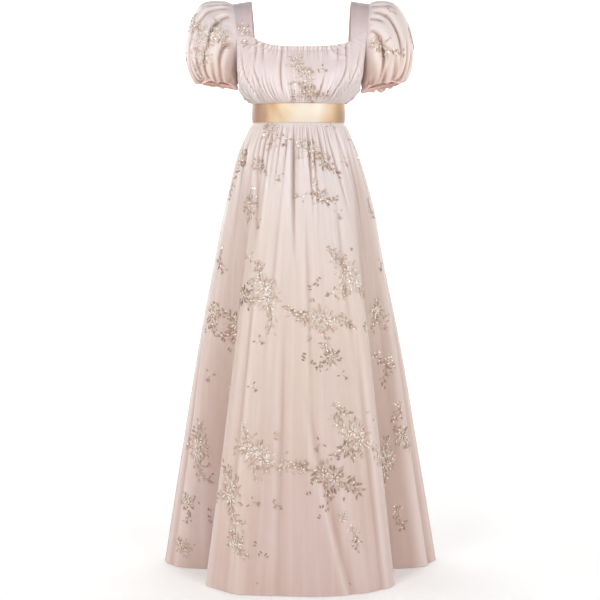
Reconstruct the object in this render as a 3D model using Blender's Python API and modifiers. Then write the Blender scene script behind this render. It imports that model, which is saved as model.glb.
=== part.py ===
"""Empire-line wedding dress of embroidered lace net mounted on satin, as closed cloth walls.

The dress keeps the hollow form that it has when worn, with its front towards -Y and a level
hem. Its origin is the middle of the line between the tops of the shoulder straps, where
shoulders hold it up. Left and right are the wearer's own, so left is +X.
Lengths are metres and angles are degrees.
"""

import math
from collections import namedtuple

import bpy
from mathutils import Vector

# Cloth and seams
WALL = 0.0018
RIBBON_WALL = 0.0015
SEAM_GAP = 0.0003
RIBBON_GAP = 0.0004

# Heights, down from the tops of the straps
WAIST_SEAM_Z = -0.2890
SASH_TOP_Z = -0.2650
SASH_BOTTOM_Z = -0.3125
HEM_Z = -1.4500
SKIRT_DROP = SASH_BOTTOM_Z - HEM_Z
SASH_TILT = 0.0065
SASH_EDGE_CLEARANCE = 0.0010

# The oval of the waist, outside the cloth and under the sash
WAIST_LEFT = 0.1140
WAIST_RIGHT = 0.1215
WAIST_FRONT = 0.0985
WAIST_BACK = 0.0865

# The armhole seam, an oval in the YZ plane
ARMHOLE_TOP_Z = -0.0070
ARMHOLE_BOTTOM_Z = -0.1945
ARMHOLE_FRONT = 0.0830
ARMHOLE_BACK = 0.0850

# Neckline and straps
NECK_CORNER_FRONT = 0.0900
NECK_CORNER_BACK = 0.0880
NECK_CENTRE_FRONT = 0.1100
NECK_CENTRE_BACK = 0.0960
NECK_CENTRE_FRONT_Z = -0.1310
NECK_CENTRE_BACK_Z = -0.1200
NECK_CORNER_BACK_Z = -0.1080

# How the bodice is shared out round its upper edge, from the centre to the side seam
NECK_SHARE = 0.405
STRAP_SHARE = 0.143

Side = namedtuple(
    "Side",
    "sign armhole_top armhole_mid armhole_low strap_top neck_corner neck_corner_z seam_turn "
    "cuff_inner_x cuff_inner_z cuff_lift_back",
)
SIDES = {
    "left": Side(
        1, 0.1767, 0.1680, 0.1565, 0.1310, 0.1270, -0.1155, 84, 0.1600, -0.2260, 0.004
    ),
    "right": Side(
        -1, 0.1720, 0.1590, 0.1565, 0.1248, 0.1180, -0.1060, 91, 0.1630, -0.2180, 0.006
    ),
}

# The skirt's oval at each drop below the sash
SkirtSection = namedtuple("SkirtSection", "drop left right front back")
SKIRT_SECTIONS = (
    SkirtSection(0.000, 0.1140, 0.1215, 0.0985, 0.0865),
    SkirtSection(0.012, 0.1215, 0.1285, 0.1055, 0.0935),
    SkirtSection(0.072, 0.1470, 0.1560, 0.1280, 0.1180),
    SkirtSection(0.202, 0.1880, 0.1915, 0.1580, 0.1500),
    SkirtSection(0.332, 0.2125, 0.2180, 0.1800, 0.1750),
    SkirtSection(0.590, 0.2630, 0.2660, 0.2190, 0.2180),
    SkirtSection(0.850, 0.3060, 0.3080, 0.2550, 0.2580),
    SkirtSection(SKIRT_DROP, 0.3540, 0.3540, 0.2930, 0.3000),
)

# Folds of the skirt. Each grows from its start to its full depth, and fades out by its end.
Fold = namedtuple("Fold", "start full end upper_angle lower_angle depth width")
TO_HEM = 2 * SKIRT_DROP
SKIRT_FOLDS = (
    Fold(0.06, SKIRT_DROP, TO_HEM, 60, 62, 0.125, 13.5),
    Fold(0.08, SKIRT_DROP, TO_HEM, -50, -62, 0.125, 13.5),
    Fold(0.06, SKIRT_DROP, TO_HEM, 114, 119, 0.090, 12.0),
    Fold(0.10, SKIRT_DROP, TO_HEM, -112, -117, 0.085, 12.0),
    Fold(0.05, SKIRT_DROP, TO_HEM, 150, 152, 0.060, 10.0),
    Fold(0.08, SKIRT_DROP, TO_HEM, -147, -150, 0.065, 10.0),
    Fold(0.10, SKIRT_DROP, TO_HEM, 181, 179, 0.035, 8.0),
    Fold(-0.02, 0.10, 0.42, -4, -2, 0.006, 4.0),
    Fold(0.04, 0.20, 0.50, -34, -36, 0.006, 4.5),
    Fold(0.45, 0.95, TO_HEM, 12, 22, -0.010, 7.0),
    Fold(0.60, 1.10, TO_HEM, -24, -25, -0.009, 6.0),
    Fold(0.30, 0.80, TO_HEM, 82, 84, 0.012, 4.0),
)

# The sleeve's crown from the shoulder to the cuff: how far out it reaches on each side, the
# half depth of the puff there, and how much its gathers stand up
Crown = namedtuple("Crown", "share z left right depth cap_gather cuff_gather")
SLEEVE_CROWN = (
    Crown(0.00, ARMHOLE_TOP_Z, 0.1767, 0.1720, 0.0830, 0.0000, 0.0000),
    Crown(0.06, -0.0005, 0.1930, 0.1950, 0.0920, 0.0024, 0.0000),
    Crown(0.16, 0.0005, 0.2170, 0.2210, 0.1030, 0.0034, 0.0000),
    Crown(0.30, -0.0120, 0.2460, 0.2530, 0.1140, 0.0030, 0.0000),
    Crown(0.45, -0.0550, 0.2740, 0.2800, 0.1190, 0.0016, 0.0004),
    Crown(0.62, -0.1080, 0.2890, 0.2935, 0.1170, 0.0000, 0.0010),
    Crown(0.77, -0.1520, 0.2910, 0.2910, 0.1030, 0.0000, 0.0022),
    Crown(0.89, -0.1840, 0.2770, 0.2740, 0.0790, 0.0000, 0.0030),
    Crown(0.96, -0.1980, 0.2640, 0.2600, 0.0600, 0.0000, 0.0026),
    Crown(1.00, -0.2045, 0.2540, 0.2500, 0.0500, 0.0000, 0.0006),
)

# The sleeve's lower edge is drawn up at its front, and less at its back
CUFF_LIFT_FRONT = 0.010
CUFF_LIFT_START = 0.62

# Broad soft swells round each puff: their height, how many go round, and how far they slant
PUFF_SWELL = 0.005
PUFF_SWELLS_ROUND = 4
PUFF_SWELL_SLANT = 150

# How far down from the crown, as a cosine, the sleeve's cap gathers and cuff gathers reach
CAP_GATHER_REACH = 0.35
CUFF_GATHER_REACH = 1.40

# Cuffs, straps and sash
CUFF_HEIGHT = 0.0095
CUFF_FLARE = 0.0006
CUFF_COLUMNS = 32
STRAP_STEPS = 12
STRAP_COLUMNS = 3
SASH_COLUMNS = 72

# Gathers in each piece, three columns of faces to a gather
COLUMNS_PER_GATHER = 3
PLAIN_COLUMNS = 2
Ripple = namedtuple("Ripple", "height rate")
GATHER_UNEVENNESS = (Ripple(0.30, 0.83), Ripple(0.15, 2.10))
BODICE_FRONT_GATHERS = 28
BODICE_BACK_GATHERS = 18
SKIRT_FRONT_GATHERS = 26
SKIRT_BACK_GATHERS = 20
SLEEVE_GATHERS = 16

# Rows of each piece, as shares of the way from its lower edge or from the sash
BODICE_FRONT_ROWS = (0.0, 0.07, 0.20, 0.42, 0.68, 0.88, 1.0)
BODICE_BACK_ROWS = (0.0, 0.08, 0.25, 0.55, 0.82, 1.0)
SKIRT_FRONT_ROWS = (0.0, 0.011, 0.045, 0.105, 0.20, 0.34, 0.50, 0.67, 0.84, 1.0)
SKIRT_BACK_ROWS = (0.0, 0.011, 0.045, 0.115, 0.21, 0.34, 0.50, 0.67, 0.84, 1.0)
SLEEVE_ROWS = (0.05, 0.14, 0.28, 0.44, 0.61, 0.77, 0.90, 1.0)

# The skirt's panels are built in parts whose seams lie deep in the folds, as the first and last
# row or column of each, so that every part is a simple curved wall
SKIRT_TIERS = {"upper": (0, 6), "middle": (6, 8), "lower": (8, 10)}
SKIRT_FRONT_GORES = {"right": (0, 14), "centre": (14, 65), "left": (65, 78)}
SKIRT_BACK_GORES = {
    "right": (0, 8),
    "right_rear": (8, 20),
    "centre": (20, 40),
    "left_rear": (40, 50),
    "left": (50, 60),
}

# How the bodice swells out over the sash and how high its gathers stand
Fullness = namedtuple("Fullness", "share front back gather")
BODICE_FULLNESS = (
    Fullness(0.00, 0.030, 0.014, 0.0018),
    Fullness(0.45, 0.035, 0.016, 0.0018),
    Fullness(0.80, 0.024, 0.017, 0.0020),
    Fullness(1.00, 0.018, 0.018, 0.0012),
)
SWELL_LEAN = 0.60
NECK_GATHER = 0.0010
NECK_GATHER_START = 0.80

# How high the skirt's gathers stand at each drop below the sash
GatherHeight = namedtuple("GatherHeight", "drop height")
SKIRT_GATHERS = (
    GatherHeight(0.000, 0.0000),
    GatherHeight(0.012, 0.0022),
    GatherHeight(0.050, 0.0040),
    GatherHeight(0.120, 0.0036),
    GatherHeight(0.300, 0.0014),
    GatherHeight(0.600, 0.0003),
    GatherHeight(SKIRT_DROP, 0.0000),
)

# Colour, roughness and metallic value of each kind of cloth
Finish = namedtuple("Finish", "colour roughness metallic")
BODICE_NET = Finish((0.72, 0.61, 0.62), 0.55, 0.0)
SKIRT_NET = Finish((0.66, 0.54, 0.51), 0.55, 0.0)
STRAP_SATIN = Finish((0.70, 0.59, 0.61), 0.45, 0.0)
CUFF_NET = Finish((0.62, 0.48, 0.44), 0.60, 0.0)
SASH_SATIN = Finish((0.80, 0.62, 0.36), 0.30, 0.0)


def ease(share):
    """0 to 1 with a level start and end."""
    share = min(max(share, 0.0), 1.0)
    return share * share * (3 - 2 * share)


def mix(a, b, share):
    return a + (b - a) * share


def row_at(rows, place):
    """A table's row at a place between its own rows, on a smooth curve through each column."""
    place = min(max(place, rows[0][0]), rows[-1][0])
    k = next(i for i in range(len(rows) - 1) if place <= rows[i + 1][0])
    before, after = rows[max(k - 1, 0)], rows[min(k + 2, len(rows) - 1)]
    start, end = rows[k], rows[k + 1]
    span = end[0] - start[0]
    t = (place - start[0]) / span
    values = []
    for a, p, q, b in zip(before, start, end, after):
        slope_in = (q - a) / (end[0] - before[0]) * span
        slope_out = (b - p) / (after[0] - start[0]) * span
        t2, t3 = t * t, t * t * t
        values.append(
            (2 * t3 - 3 * t2 + 1) * p + (t3 - 2 * t2 + t) * slope_in
            + (3 * t2 - 2 * t3) * q + (t3 - t2) * slope_out
        )
    return type(start)(*values)


def gather_wave(column, columns=None):
    """Narrow ridges and wider hollows, three columns to a gather, flat beside a side seam."""
    if columns and (column < PLAIN_COLUMNS or column > columns - PLAIN_COLUMNS):
        return 0.0
    uneven = 1 + sum(ripple.height * math.sin(column * ripple.rate) for ripple in GATHER_UNEVENNESS)
    return math.cos(math.tau * column / COLUMNS_PER_GATHER) * uneven


def panel_angle(column, columns, is_front):
    """The angle of a panel's column, and its place from -1 to 1 between the two side seams."""
    inset = SEAM_GAP / (WAIST_LEFT * math.pi / 2)
    across = max(min(2 * column / columns - 1, 1 - inset), inset - 1)
    return (90 * across if is_front else 180 - 90 * across), across


def oval(angle, left, right, front, back, z):
    """A point on a lopsided oval: angle 0 is the front and 90 the wearer's left."""
    turn = math.radians(angle)
    x = math.sin(turn) * (left if math.sin(turn) > 0 else right)
    y = -math.cos(turn) * (front if math.cos(turn) > 0 else back)
    return Vector((x, y, z))


def moved_out(point, distance):
    """The point moved level away from the dress's upright axis."""
    away = Vector((point.x, point.y, 0)).normalized()
    return point + away * distance


def tilted(z, angle):
    """A height at the sash, which tilts down to the front."""
    return z - SASH_TILT * math.cos(math.radians(angle))


def waist_point(angle, z):
    return oval(angle, WAIST_LEFT, WAIST_RIGHT, WAIST_FRONT, WAIST_BACK, tilted(z, angle))


def armhole_point(side, turn, gap=0.0):
    """A point on the armhole: turn 0 is the shoulder, 90 the front and 180 the underarm."""
    middle = (ARMHOLE_TOP_Z + ARMHOLE_BOTTOM_Z) / 2
    up = math.cos(math.radians(turn))
    forward = math.sin(math.radians(turn))
    depth = (ARMHOLE_FRONT if forward > 0 else ARMHOLE_BACK) + gap
    rise = (ARMHOLE_TOP_Z - ARMHOLE_BOTTOM_Z) / 2 + gap
    c = (1 + up) / 2
    x = (
        side.armhole_low * (1 - c) * (1 - 2 * c)
        + side.armhole_mid * 4 * c * (1 - c)
        + side.armhole_top * c * (2 * c - 1)
    )
    return Vector((side.sign * (x - gap), -depth * forward, middle + rise * up))


def neck_corner(side, is_front):
    """Where the neckline meets the inner edge of a strap."""
    if is_front:
        return Vector((side.sign * side.neck_corner, -NECK_CORNER_FRONT, side.neck_corner_z))
    return Vector((side.sign * side.neck_corner, NECK_CORNER_BACK, NECK_CORNER_BACK_Z))


def neckline_point(side, is_front, share):
    """A point on the neckline, from its centre to the corner at a strap."""
    if is_front:
        centre = Vector((0, -NECK_CENTRE_FRONT, NECK_CENTRE_FRONT_Z))
    else:
        centre = Vector((0, NECK_CENTRE_BACK, NECK_CENTRE_BACK_Z))
    corner = neck_corner(side, is_front)
    rise = share**3
    return Vector((corner.x * share, mix(centre.y, corner.y, share**2), mix(centre.z, corner.z, rise)))


def bodice_upper_edge(side, is_front, share):
    """The bodice's upper edge from the centre to the side seam: neckline, strap seam, armhole."""
    seam_turn = side.seam_turn
    if share <= NECK_SHARE:
        return neckline_point(side, is_front, share / NECK_SHARE)
    if share <= NECK_SHARE + STRAP_SHARE:
        across = (share - NECK_SHARE) / STRAP_SHARE
        turn = seam_turn if is_front else -seam_turn
        return neck_corner(side, is_front).lerp(armhole_point(side, turn, SEAM_GAP), across)
    along = (share - NECK_SHARE - STRAP_SHARE) / (1 - NECK_SHARE - STRAP_SHARE)
    turn = mix(seam_turn, 180, along)
    return armhole_point(side, turn if is_front else -turn, SEAM_GAP)


def bodice_point(column, columns, up, is_front):
    """A point of the bodice above the sash: column 0 and the last are the side seams."""
    angle, across = panel_angle(column, columns, is_front)
    side = SIDES["left"] if across > 0 else SIDES["right"]
    share = abs(across)
    lower = waist_point(angle, SASH_TOP_Z + SASH_EDGE_CLEARANCE)
    upper = bodice_upper_edge(side, is_front, share)
    fullness = row_at(BODICE_FULLNESS, share)
    swell = math.sin(math.pi * up**SWELL_LEAN)
    point = lower.lerp(upper, up)
    height = fullness.gather * swell
    if share < NECK_SHARE:
        height += NECK_GATHER * ease((up - NECK_GATHER_START) / (1 - NECK_GATHER_START))
    point = moved_out(point, (fullness.front if is_front else fullness.back) * swell)
    return moved_out(point, height * gather_wave(column, columns))


def bodice_rows(gathers, rows, is_front):
    """The bodice's points, from the waist seam under the sash up to its upper edge."""
    columns = gathers * COLUMNS_PER_GATHER
    angles = [panel_angle(column, columns, is_front)[0] for column in range(columns + 1)]
    grid = [[waist_point(angle, WAIST_SEAM_Z + SEAM_GAP / 2) for angle in angles]]
    for up in rows:
        grid.append([bodice_point(column, columns, up, is_front) for column in range(columns + 1)])
    return grid


def fold_depth(angle, drop):
    """How far the skirt's folds bring it in at one angle and drop."""
    depth = 0.0
    for fold in SKIRT_FOLDS:
        grown = (drop - fold.start) / (fold.full - fold.start)
        if grown <= 0:
            continue
        fade = 1 - ease((drop - fold.full) / (fold.end - fold.full))
        place = mix(fold.upper_angle, fold.lower_angle, drop / SKIRT_DROP)
        off = (angle - place + 180) % 360 - 180
        depth += fold.depth * min(grown, 1.0) * fade * math.exp(-((off / fold.width) ** 2))
    return depth


def skirt_point(angle, down, wave):
    """A point of the skirt below the sash; down is the share of the way to the hem."""
    drop = down * SKIRT_DROP
    top = tilted(SASH_BOTTOM_Z - SASH_EDGE_CLEARANCE, angle)
    section = row_at(SKIRT_SECTIONS, drop)
    z = mix(top, HEM_Z, down)
    point = oval(angle, section.left, section.right, section.front, section.back, z)
    point = moved_out(point, -fold_depth(angle, drop))
    return moved_out(point, row_at(SKIRT_GATHERS, drop).height * wave)


def skirt_rows(gathers, rows, is_front):
    """The skirt's points, from the waist seam down to the hem."""
    columns = gathers * COLUMNS_PER_GATHER
    angles = [panel_angle(column, columns, is_front)[0] for column in range(columns + 1)]
    grid = [[waist_point(angle, WAIST_SEAM_Z - SEAM_GAP / 2) for angle in angles]]
    for down in rows:
        grid.append(
            [skirt_point(angle, down, gather_wave(i, columns)) for i, angle in enumerate(angles)]
        )
    return grid


def moved_in(edge, beside):
    """An edge's points moved by half a seam gap towards the points beside it."""
    return [point + (near - point).normalized() * (SEAM_GAP / 2) for point, near in zip(edge, beside)]


def skirt_part(grid, rows, columns):
    """A panel's points between two rows and two columns, half a seam gap in from the next part."""
    part = [row[columns[0]:columns[1] + 1] for row in grid[rows[0]:rows[1] + 1]]
    if rows[0] > 0:
        part[0] = moved_in(part[0], part[1])
    if rows[1] < len(grid) - 1:
        part[-1] = moved_in(part[-1], part[-2])
    if columns[0] > 0:
        for row in part:
            row[:1] = moved_in(row[:1], row[1:2])
    if columns[1] < len(grid[0]) - 1:
        for row in part:
            row[-1:] = moved_in(row[-1:], row[-2:-1])
    return part


def sleeve_point(side, share, turn, wave):
    """A point of a sleeve: share runs from armhole to cuff, turn 0 is the crown, 90 the front."""
    crown = row_at(SLEEVE_CROWN, share)
    reach = crown.left if side.sign > 0 else crown.right
    outer = Vector((reach, 0, crown.z))
    inner_start = Vector((side.armhole_low, 0, ARMHOLE_BOTTOM_Z))
    inner = inner_start.lerp(Vector((side.cuff_inner_x, 0, side.cuff_inner_z)), share)
    up = math.cos(math.radians(turn))
    forward = math.sin(math.radians(turn))
    drawn = CUFF_LIFT_FRONT if forward > 0 else side.cuff_lift_back
    lift = drawn * forward**2 * ease((share - CUFF_LIFT_START) / (1 - CUFF_LIFT_START))
    spread = outer.lerp(inner, (1 - up) / 2) + Vector((0, -crown.depth * forward, lift))
    middle = (outer + inner) / 2
    away = (spread - middle).normalized()
    height = crown.cap_gather * ease(CAP_GATHER_REACH + up)
    height += crown.cuff_gather * ease(CUFF_GATHER_REACH + up)
    slant = PUFF_SWELLS_ROUND * turn + PUFF_SWELL_SLANT * share
    swell = PUFF_SWELL * math.sin(math.pi * share) * math.sin(math.radians(slant))
    point = spread + away * (height * wave + swell * ease(CAP_GATHER_REACH + up))
    point.x *= side.sign
    return point


def sleeve_rows(side):
    """The sleeve's rings of points, from the armhole seam to its lower edge."""
    columns = SLEEVE_GATHERS * COLUMNS_PER_GATHER
    turns = [360 * column / columns for column in range(columns)]
    rows = [[armhole_point(side, turn) for turn in turns]]
    for share in SLEEVE_ROWS:
        rows.append([sleeve_point(side, share, turn, gather_wave(i)) for i, turn in enumerate(turns)])
    return rows


def cuff_rows(side):
    """A narrow band that carries on from the sleeve's lower edge."""
    rows = []
    for along in (0.0, 1.0):
        row = []
        for column in range(CUFF_COLUMNS):
            turn = 360 * column / CUFF_COLUMNS
            edge = sleeve_point(side, 1.0, turn, 0.0)
            down = SEAM_GAP + along * CUFF_HEIGHT
            row.append(edge + Vector((side.sign * along * CUFF_FLARE, 0, -down)))
        rows.append(row)
    return rows


def strap_rows(side):
    """A flat band over the shoulder, from the front strap seam to the back one."""
    seam_share = SEAM_GAP / ARMHOLE_FRONT
    rows = []
    for step in range(STRAP_STEPS + 1):
        along = mix(1 - seam_share, seam_share - 1, step / STRAP_STEPS)
        outer = armhole_point(side, side.seam_turn * along, SEAM_GAP)
        corner = neck_corner(side, along > 0)
        turn = math.radians(90 * along)
        inner = Vector(
            (
                mix(side.sign * side.strap_top, corner.x, 1 - math.cos(turn)),
                corner.y * abs(math.sin(turn)),
                corner.z * (1 - math.cos(turn)),
            )
        )
        rows.append([inner.lerp(outer, k / STRAP_COLUMNS) for k in range(STRAP_COLUMNS + 1)])
    return rows


def sash_rows():
    """The ribbon over the waist seam, made from the waist's points moved out."""
    out = RIBBON_GAP + RIBBON_WALL
    rows = []
    for z in (SASH_BOTTOM_Z, SASH_TOP_Z):
        angles = [360 * column / SASH_COLUMNS for column in range(SASH_COLUMNS)]
        rows.append([moved_out(waist_point(angle, z), out) for angle in angles])
    return rows


def cloth_material(name, finish):
    material = bpy.data.materials.new(name)
    material.use_nodes = True
    shader = material.node_tree.nodes["Principled BSDF"]
    shader.inputs["Base Color"].default_value = (*finish.colour, 1.0)
    shader.inputs["Roughness"].default_value = finish.roughness
    shader.inputs["Metallic"].default_value = finish.metallic
    return material


def cloth_wall(collection, name, rows, finish, wall=WALL, closed=False, flip=False):
    """A sheet through rows of points, thickened inwards to a closed wall."""
    across = len(rows[0])
    points = [point for row in rows for point in row]
    faces = []
    for j in range(len(rows) - 1):
        for i in range(across if closed else across - 1):
            k = (i + 1) % across
            corners = (j * across + i, j * across + k, (j + 1) * across + k, (j + 1) * across + i)
            faces.append(corners[::-1] if flip else corners)
    mesh = bpy.data.meshes.new(name)
    mesh.from_pydata(points, [], faces)
    mesh.shade_smooth()
    mesh.materials.append(cloth_material(name, finish))
    piece = bpy.data.objects.new(name, mesh)
    thicken = piece.modifiers.new("wall", "SOLIDIFY")
    thicken.thickness = wall
    thicken.offset = -1
    collection.objects.link(piece)
    return piece


def build_dress():
    for old in list(bpy.data.objects):
        bpy.data.objects.remove(old)
    dress = bpy.data.collections.new("wedding_dress")
    bpy.context.scene.collection.children.link(dress)
    front = bodice_rows(BODICE_FRONT_GATHERS, BODICE_FRONT_ROWS, True)
    back = bodice_rows(BODICE_BACK_GATHERS, BODICE_BACK_ROWS, False)
    cloth_wall(dress, "bodice_front", front, BODICE_NET)
    cloth_wall(dress, "bodice_back", back, BODICE_NET, flip=True)
    for name, side in SIDES.items():
        flip = side.sign < 0
        cloth_wall(dress, f"strap_{name}", strap_rows(side), STRAP_SATIN, flip=flip)
        cloth_wall(dress, f"sleeve_{name}", sleeve_rows(side), BODICE_NET, closed=True, flip=flip)
        cloth_wall(dress, f"cuff_{name}", cuff_rows(side), CUFF_NET, closed=True, flip=flip)
    cloth_wall(dress, "sash", sash_rows(), SASH_SATIN, RIBBON_WALL, closed=True)
    skirt_front = skirt_rows(SKIRT_FRONT_GATHERS, SKIRT_FRONT_ROWS, True)
    skirt_back = skirt_rows(SKIRT_BACK_GATHERS, SKIRT_BACK_ROWS, False)
    for tier, rows in SKIRT_TIERS.items():
        for gore, columns in SKIRT_FRONT_GORES.items():
            part = skirt_part(skirt_front, rows, columns)
            cloth_wall(dress, f"skirt_front_{gore}_{tier}", part, SKIRT_NET, flip=True)
        for gore, columns in SKIRT_BACK_GORES.items():
            part = skirt_part(skirt_back, rows, columns)
            cloth_wall(dress, f"skirt_back_{gore}_{tier}", part, SKIRT_NET)


build_dress()
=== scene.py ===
"""The looks of the wedding dress: fine cloth in its gathers and folds, and embroidery on it.

Every sheet of cloth repeats the form of its solid from the same sizes and adds the finer
gathers, creases and casings. The embroidery is joined meshes that lie on that cloth.
Lengths are metres and angles are degrees. Angle 0 is the front, 90 is the wearer's left (+X)
and 180 the back.
"""

import math
from collections import namedtuple

import bpy
import numpy as np
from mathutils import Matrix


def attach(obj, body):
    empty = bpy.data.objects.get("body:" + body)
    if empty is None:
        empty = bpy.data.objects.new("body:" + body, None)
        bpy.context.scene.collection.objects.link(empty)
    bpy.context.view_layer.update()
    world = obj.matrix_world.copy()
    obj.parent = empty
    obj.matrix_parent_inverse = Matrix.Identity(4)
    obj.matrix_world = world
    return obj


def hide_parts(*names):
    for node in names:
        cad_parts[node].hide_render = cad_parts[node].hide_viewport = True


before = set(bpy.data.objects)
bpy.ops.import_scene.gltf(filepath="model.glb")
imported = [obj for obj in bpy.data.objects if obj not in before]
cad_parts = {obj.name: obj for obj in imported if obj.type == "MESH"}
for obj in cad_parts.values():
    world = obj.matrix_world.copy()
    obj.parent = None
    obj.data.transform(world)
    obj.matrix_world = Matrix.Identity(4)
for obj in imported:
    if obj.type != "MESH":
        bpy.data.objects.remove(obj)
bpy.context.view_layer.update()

# Sizes of the dress as in the solids, but for a narrower gap at the seams of the cloth
SEAM_GAP = 0.0001
RIBBON_GAP = 0.0004
RIBBON_WALL = 0.0015
WAIST_SEAM_Z = -0.289
SASH_TOP_Z = -0.265
SASH_BOTTOM_Z = -0.3125
HEM_Z = -1.45
SKIRT_DROP = SASH_BOTTOM_Z - HEM_Z
SASH_TILT = 0.0065
SASH_EDGE_CLEARANCE = 0.001
WAIST_LEFT = 0.114
WAIST_RIGHT = 0.1215
WAIST_FRONT = 0.0985
WAIST_BACK = 0.0865

# The armhole seam, an oval in the YZ plane
ARMHOLE_TOP_Z = -0.007
ARMHOLE_BOTTOM_Z = -0.1945
ARMHOLE_FRONT = 0.083
ARMHOLE_BACK = 0.085

# Neckline and straps
NECK_CORNER_FRONT = 0.09
NECK_CORNER_BACK = 0.088
NECK_CENTRE_FRONT = 0.11
NECK_CENTRE_BACK = 0.096
NECK_CENTRE_FRONT_Z = -0.131
NECK_CENTRE_BACK_Z = -0.12
NECK_CORNER_BACK_Z = -0.108
NECK_SHARE = 0.405
STRAP_SHARE = 0.143

Side = namedtuple(
    "Side",
    "sign armhole_top armhole_mid armhole_low strap_top neck_corner neck_corner_z seam_turn "
    "cuff_inner_x cuff_inner_z cuff_lift_back",
)
SIDES = {
    "left": Side(1, 0.1767, 0.168, 0.1565, 0.131, 0.127, -0.1155, 84, 0.16, -0.226, 0.004),
    "right": Side(-1, 0.172, 0.159, 0.1565, 0.1248, 0.118, -0.106, 91, 0.163, -0.218, 0.006),
}


def table(kind, *rows):
    """The rows of a table, each with its columns named."""
    return tuple(kind(*row) for row in rows)


# The skirt's oval at each drop below the sash
SkirtSection = namedtuple("SkirtSection", "drop left right front back")
SKIRT_SECTIONS = table(
    SkirtSection,
    (0.0, 0.114, 0.1215, 0.0985, 0.0865),
    (0.012, 0.1215, 0.1285, 0.1055, 0.0935),
    (0.072, 0.147, 0.156, 0.128, 0.118),
    (0.202, 0.188, 0.1915, 0.158, 0.15),
    (0.332, 0.2125, 0.218, 0.18, 0.175),
    (0.59, 0.263, 0.266, 0.219, 0.218),
    (0.85, 0.306, 0.308, 0.255, 0.258),
    (SKIRT_DROP, 0.354, 0.354, 0.293, 0.3),
)

# Folds of the skirt. Each grows from its start to its full depth, and fades out by its end.
Fold = namedtuple("Fold", "start full end upper_angle lower_angle depth width")
TO_HEM = 2 * SKIRT_DROP
SKIRT_FOLDS = table(
    Fold,
    (0.06, SKIRT_DROP, TO_HEM, 60, 62, 0.125, 13.5),
    (0.08, SKIRT_DROP, TO_HEM, -50, -62, 0.125, 13.5),
    (0.06, SKIRT_DROP, TO_HEM, 114, 119, 0.09, 12.0),
    (0.1, SKIRT_DROP, TO_HEM, -112, -117, 0.085, 12.0),
    (0.05, SKIRT_DROP, TO_HEM, 150, 152, 0.06, 10.0),
    (0.08, SKIRT_DROP, TO_HEM, -147, -150, 0.065, 10.0),
    (0.1, SKIRT_DROP, TO_HEM, 181, 179, 0.035, 8.0),
    (-0.02, 0.1, 0.42, -4, -2, 0.006, 4.0),
    (0.04, 0.2, 0.5, -34, -36, 0.006, 4.5),
    (0.45, 0.95, TO_HEM, 12, 22, -0.01, 7.0),
    (0.6, 1.1, TO_HEM, -24, -25, -0.009, 6.0),
    (0.3, 0.8, TO_HEM, 82, 84, 0.012, 4.0),
)

# The sleeve's crown from the shoulder to the cuff, how far out it reaches on each side and
# the half depth of the puff there
Crown = namedtuple("Crown", "share z left right depth")
SLEEVE_CROWN = table(
    Crown,
    (0.0, ARMHOLE_TOP_Z, 0.1767, 0.172, 0.083),
    (0.06, -0.0005, 0.193, 0.195, 0.092),
    (0.16, 0.0005, 0.217, 0.221, 0.103),
    (0.3, -0.012, 0.246, 0.253, 0.114),
    (0.45, -0.055, 0.274, 0.28, 0.119),
    (0.62, -0.108, 0.289, 0.2935, 0.117),
    (0.77, -0.152, 0.291, 0.291, 0.103),
    (0.89, -0.184, 0.277, 0.274, 0.079),
    (0.96, -0.198, 0.264, 0.26, 0.06),
    (1.0, -0.2045, 0.254, 0.25, 0.05),
)
CUFF_LIFT_FRONT = 0.01
CUFF_LIFT_START = 0.62
PUFF_SWELL = 0.005
PUFF_SWELLS_ROUND = 4
PUFF_SWELL_SLANT = 150
CAP_GATHER_REACH = 0.35
CUFF_HEIGHT = 0.0095
CUFF_FLARE = 0.0006

# How the bodice swells out over the sash
Fullness = namedtuple("Fullness", "share front back")
BODICE_FULLNESS = table(
    Fullness,
    (0.0, 0.03, 0.014),
    (0.45, 0.035, 0.016),
    (0.8, 0.024, 0.017),
    (1.0, 0.018, 0.018),
)
SWELL_LEAN = 0.6

# The parts that each of the skirt's two panels is built in
SKIRT_TIERS = ("upper", "middle", "lower")
SKIRT_GORES = {
    "skirt_front": ("right", "centre", "left"),
    "skirt_back": ("right", "right_rear", "centre", "left_rear", "left"),
}

# The photo's camera: its distance, height, tilt down, focal length and shift, in metres,
# degrees, pixels and shares of the frame
PHOTO_SIZE = 600
CAMERA_DISTANCE = 2.956
CAMERA_HEIGHT = -0.571
CAMERA_PITCH = 1.16
CAMERA_FOCAL = 1140
CAMERA_SHIFT = -0.09

# Depth at which a broad fold of the skirt has its full painted shade, at the sash and at the hem. Low
# on the skirt, from a share of the drop on, the painted shade goes down to a part of it.
SHADED_DEPTH_TOP = 0.012
SHADED_DEPTH_HEM = 0.055
HEM_SHADE = 0.35
HEM_SHADE_START = 0.6
HEM_SHADE_RUN = 0.25

# Thickness of the fine cloth that shows
FINE_WALL = 0.0008
FINE_RIBBON = 0.001

# How far under the sash's edges the bodice and the skirt keep to its oval, and the places of
# their two rows of points under the sash in each sheet's measure along
SASH_OVERLAP = 0.003
BODICE_UNDER_SASH = (1.02, 1.12)
SKIRT_UNDER_SASH = (-0.024, -0.003)

# Columns and rows of each sheet's grid. The skirt's rows lie closer together near the sash.
SKIRT_ROW_CROWDING = 1.45
SKIRT_FRONT_GRID = (440, 98)
SKIRT_BACK_GRID = (380, 88)
BODICE_FRONT_GRID = (420, 60)
BODICE_BACK_GRID = (300, 48)
SLEEVE_GRID = (216, 60)
CUFF_GRID = (216, 7)
STRAP_GRID = (14, 60)
SASH_GRID = (288, 14)


def ease(share):
    """0 to 1 with a level start and end."""
    share = np.clip(share, 0.0, 1.0)
    return share * share * (3 - 2 * share)


def cos_sin(turn):
    turn = np.radians(turn)
    return np.cos(turn), np.sin(turn)


def mix(a, b, share):
    return a + (b - a) * share


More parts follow.
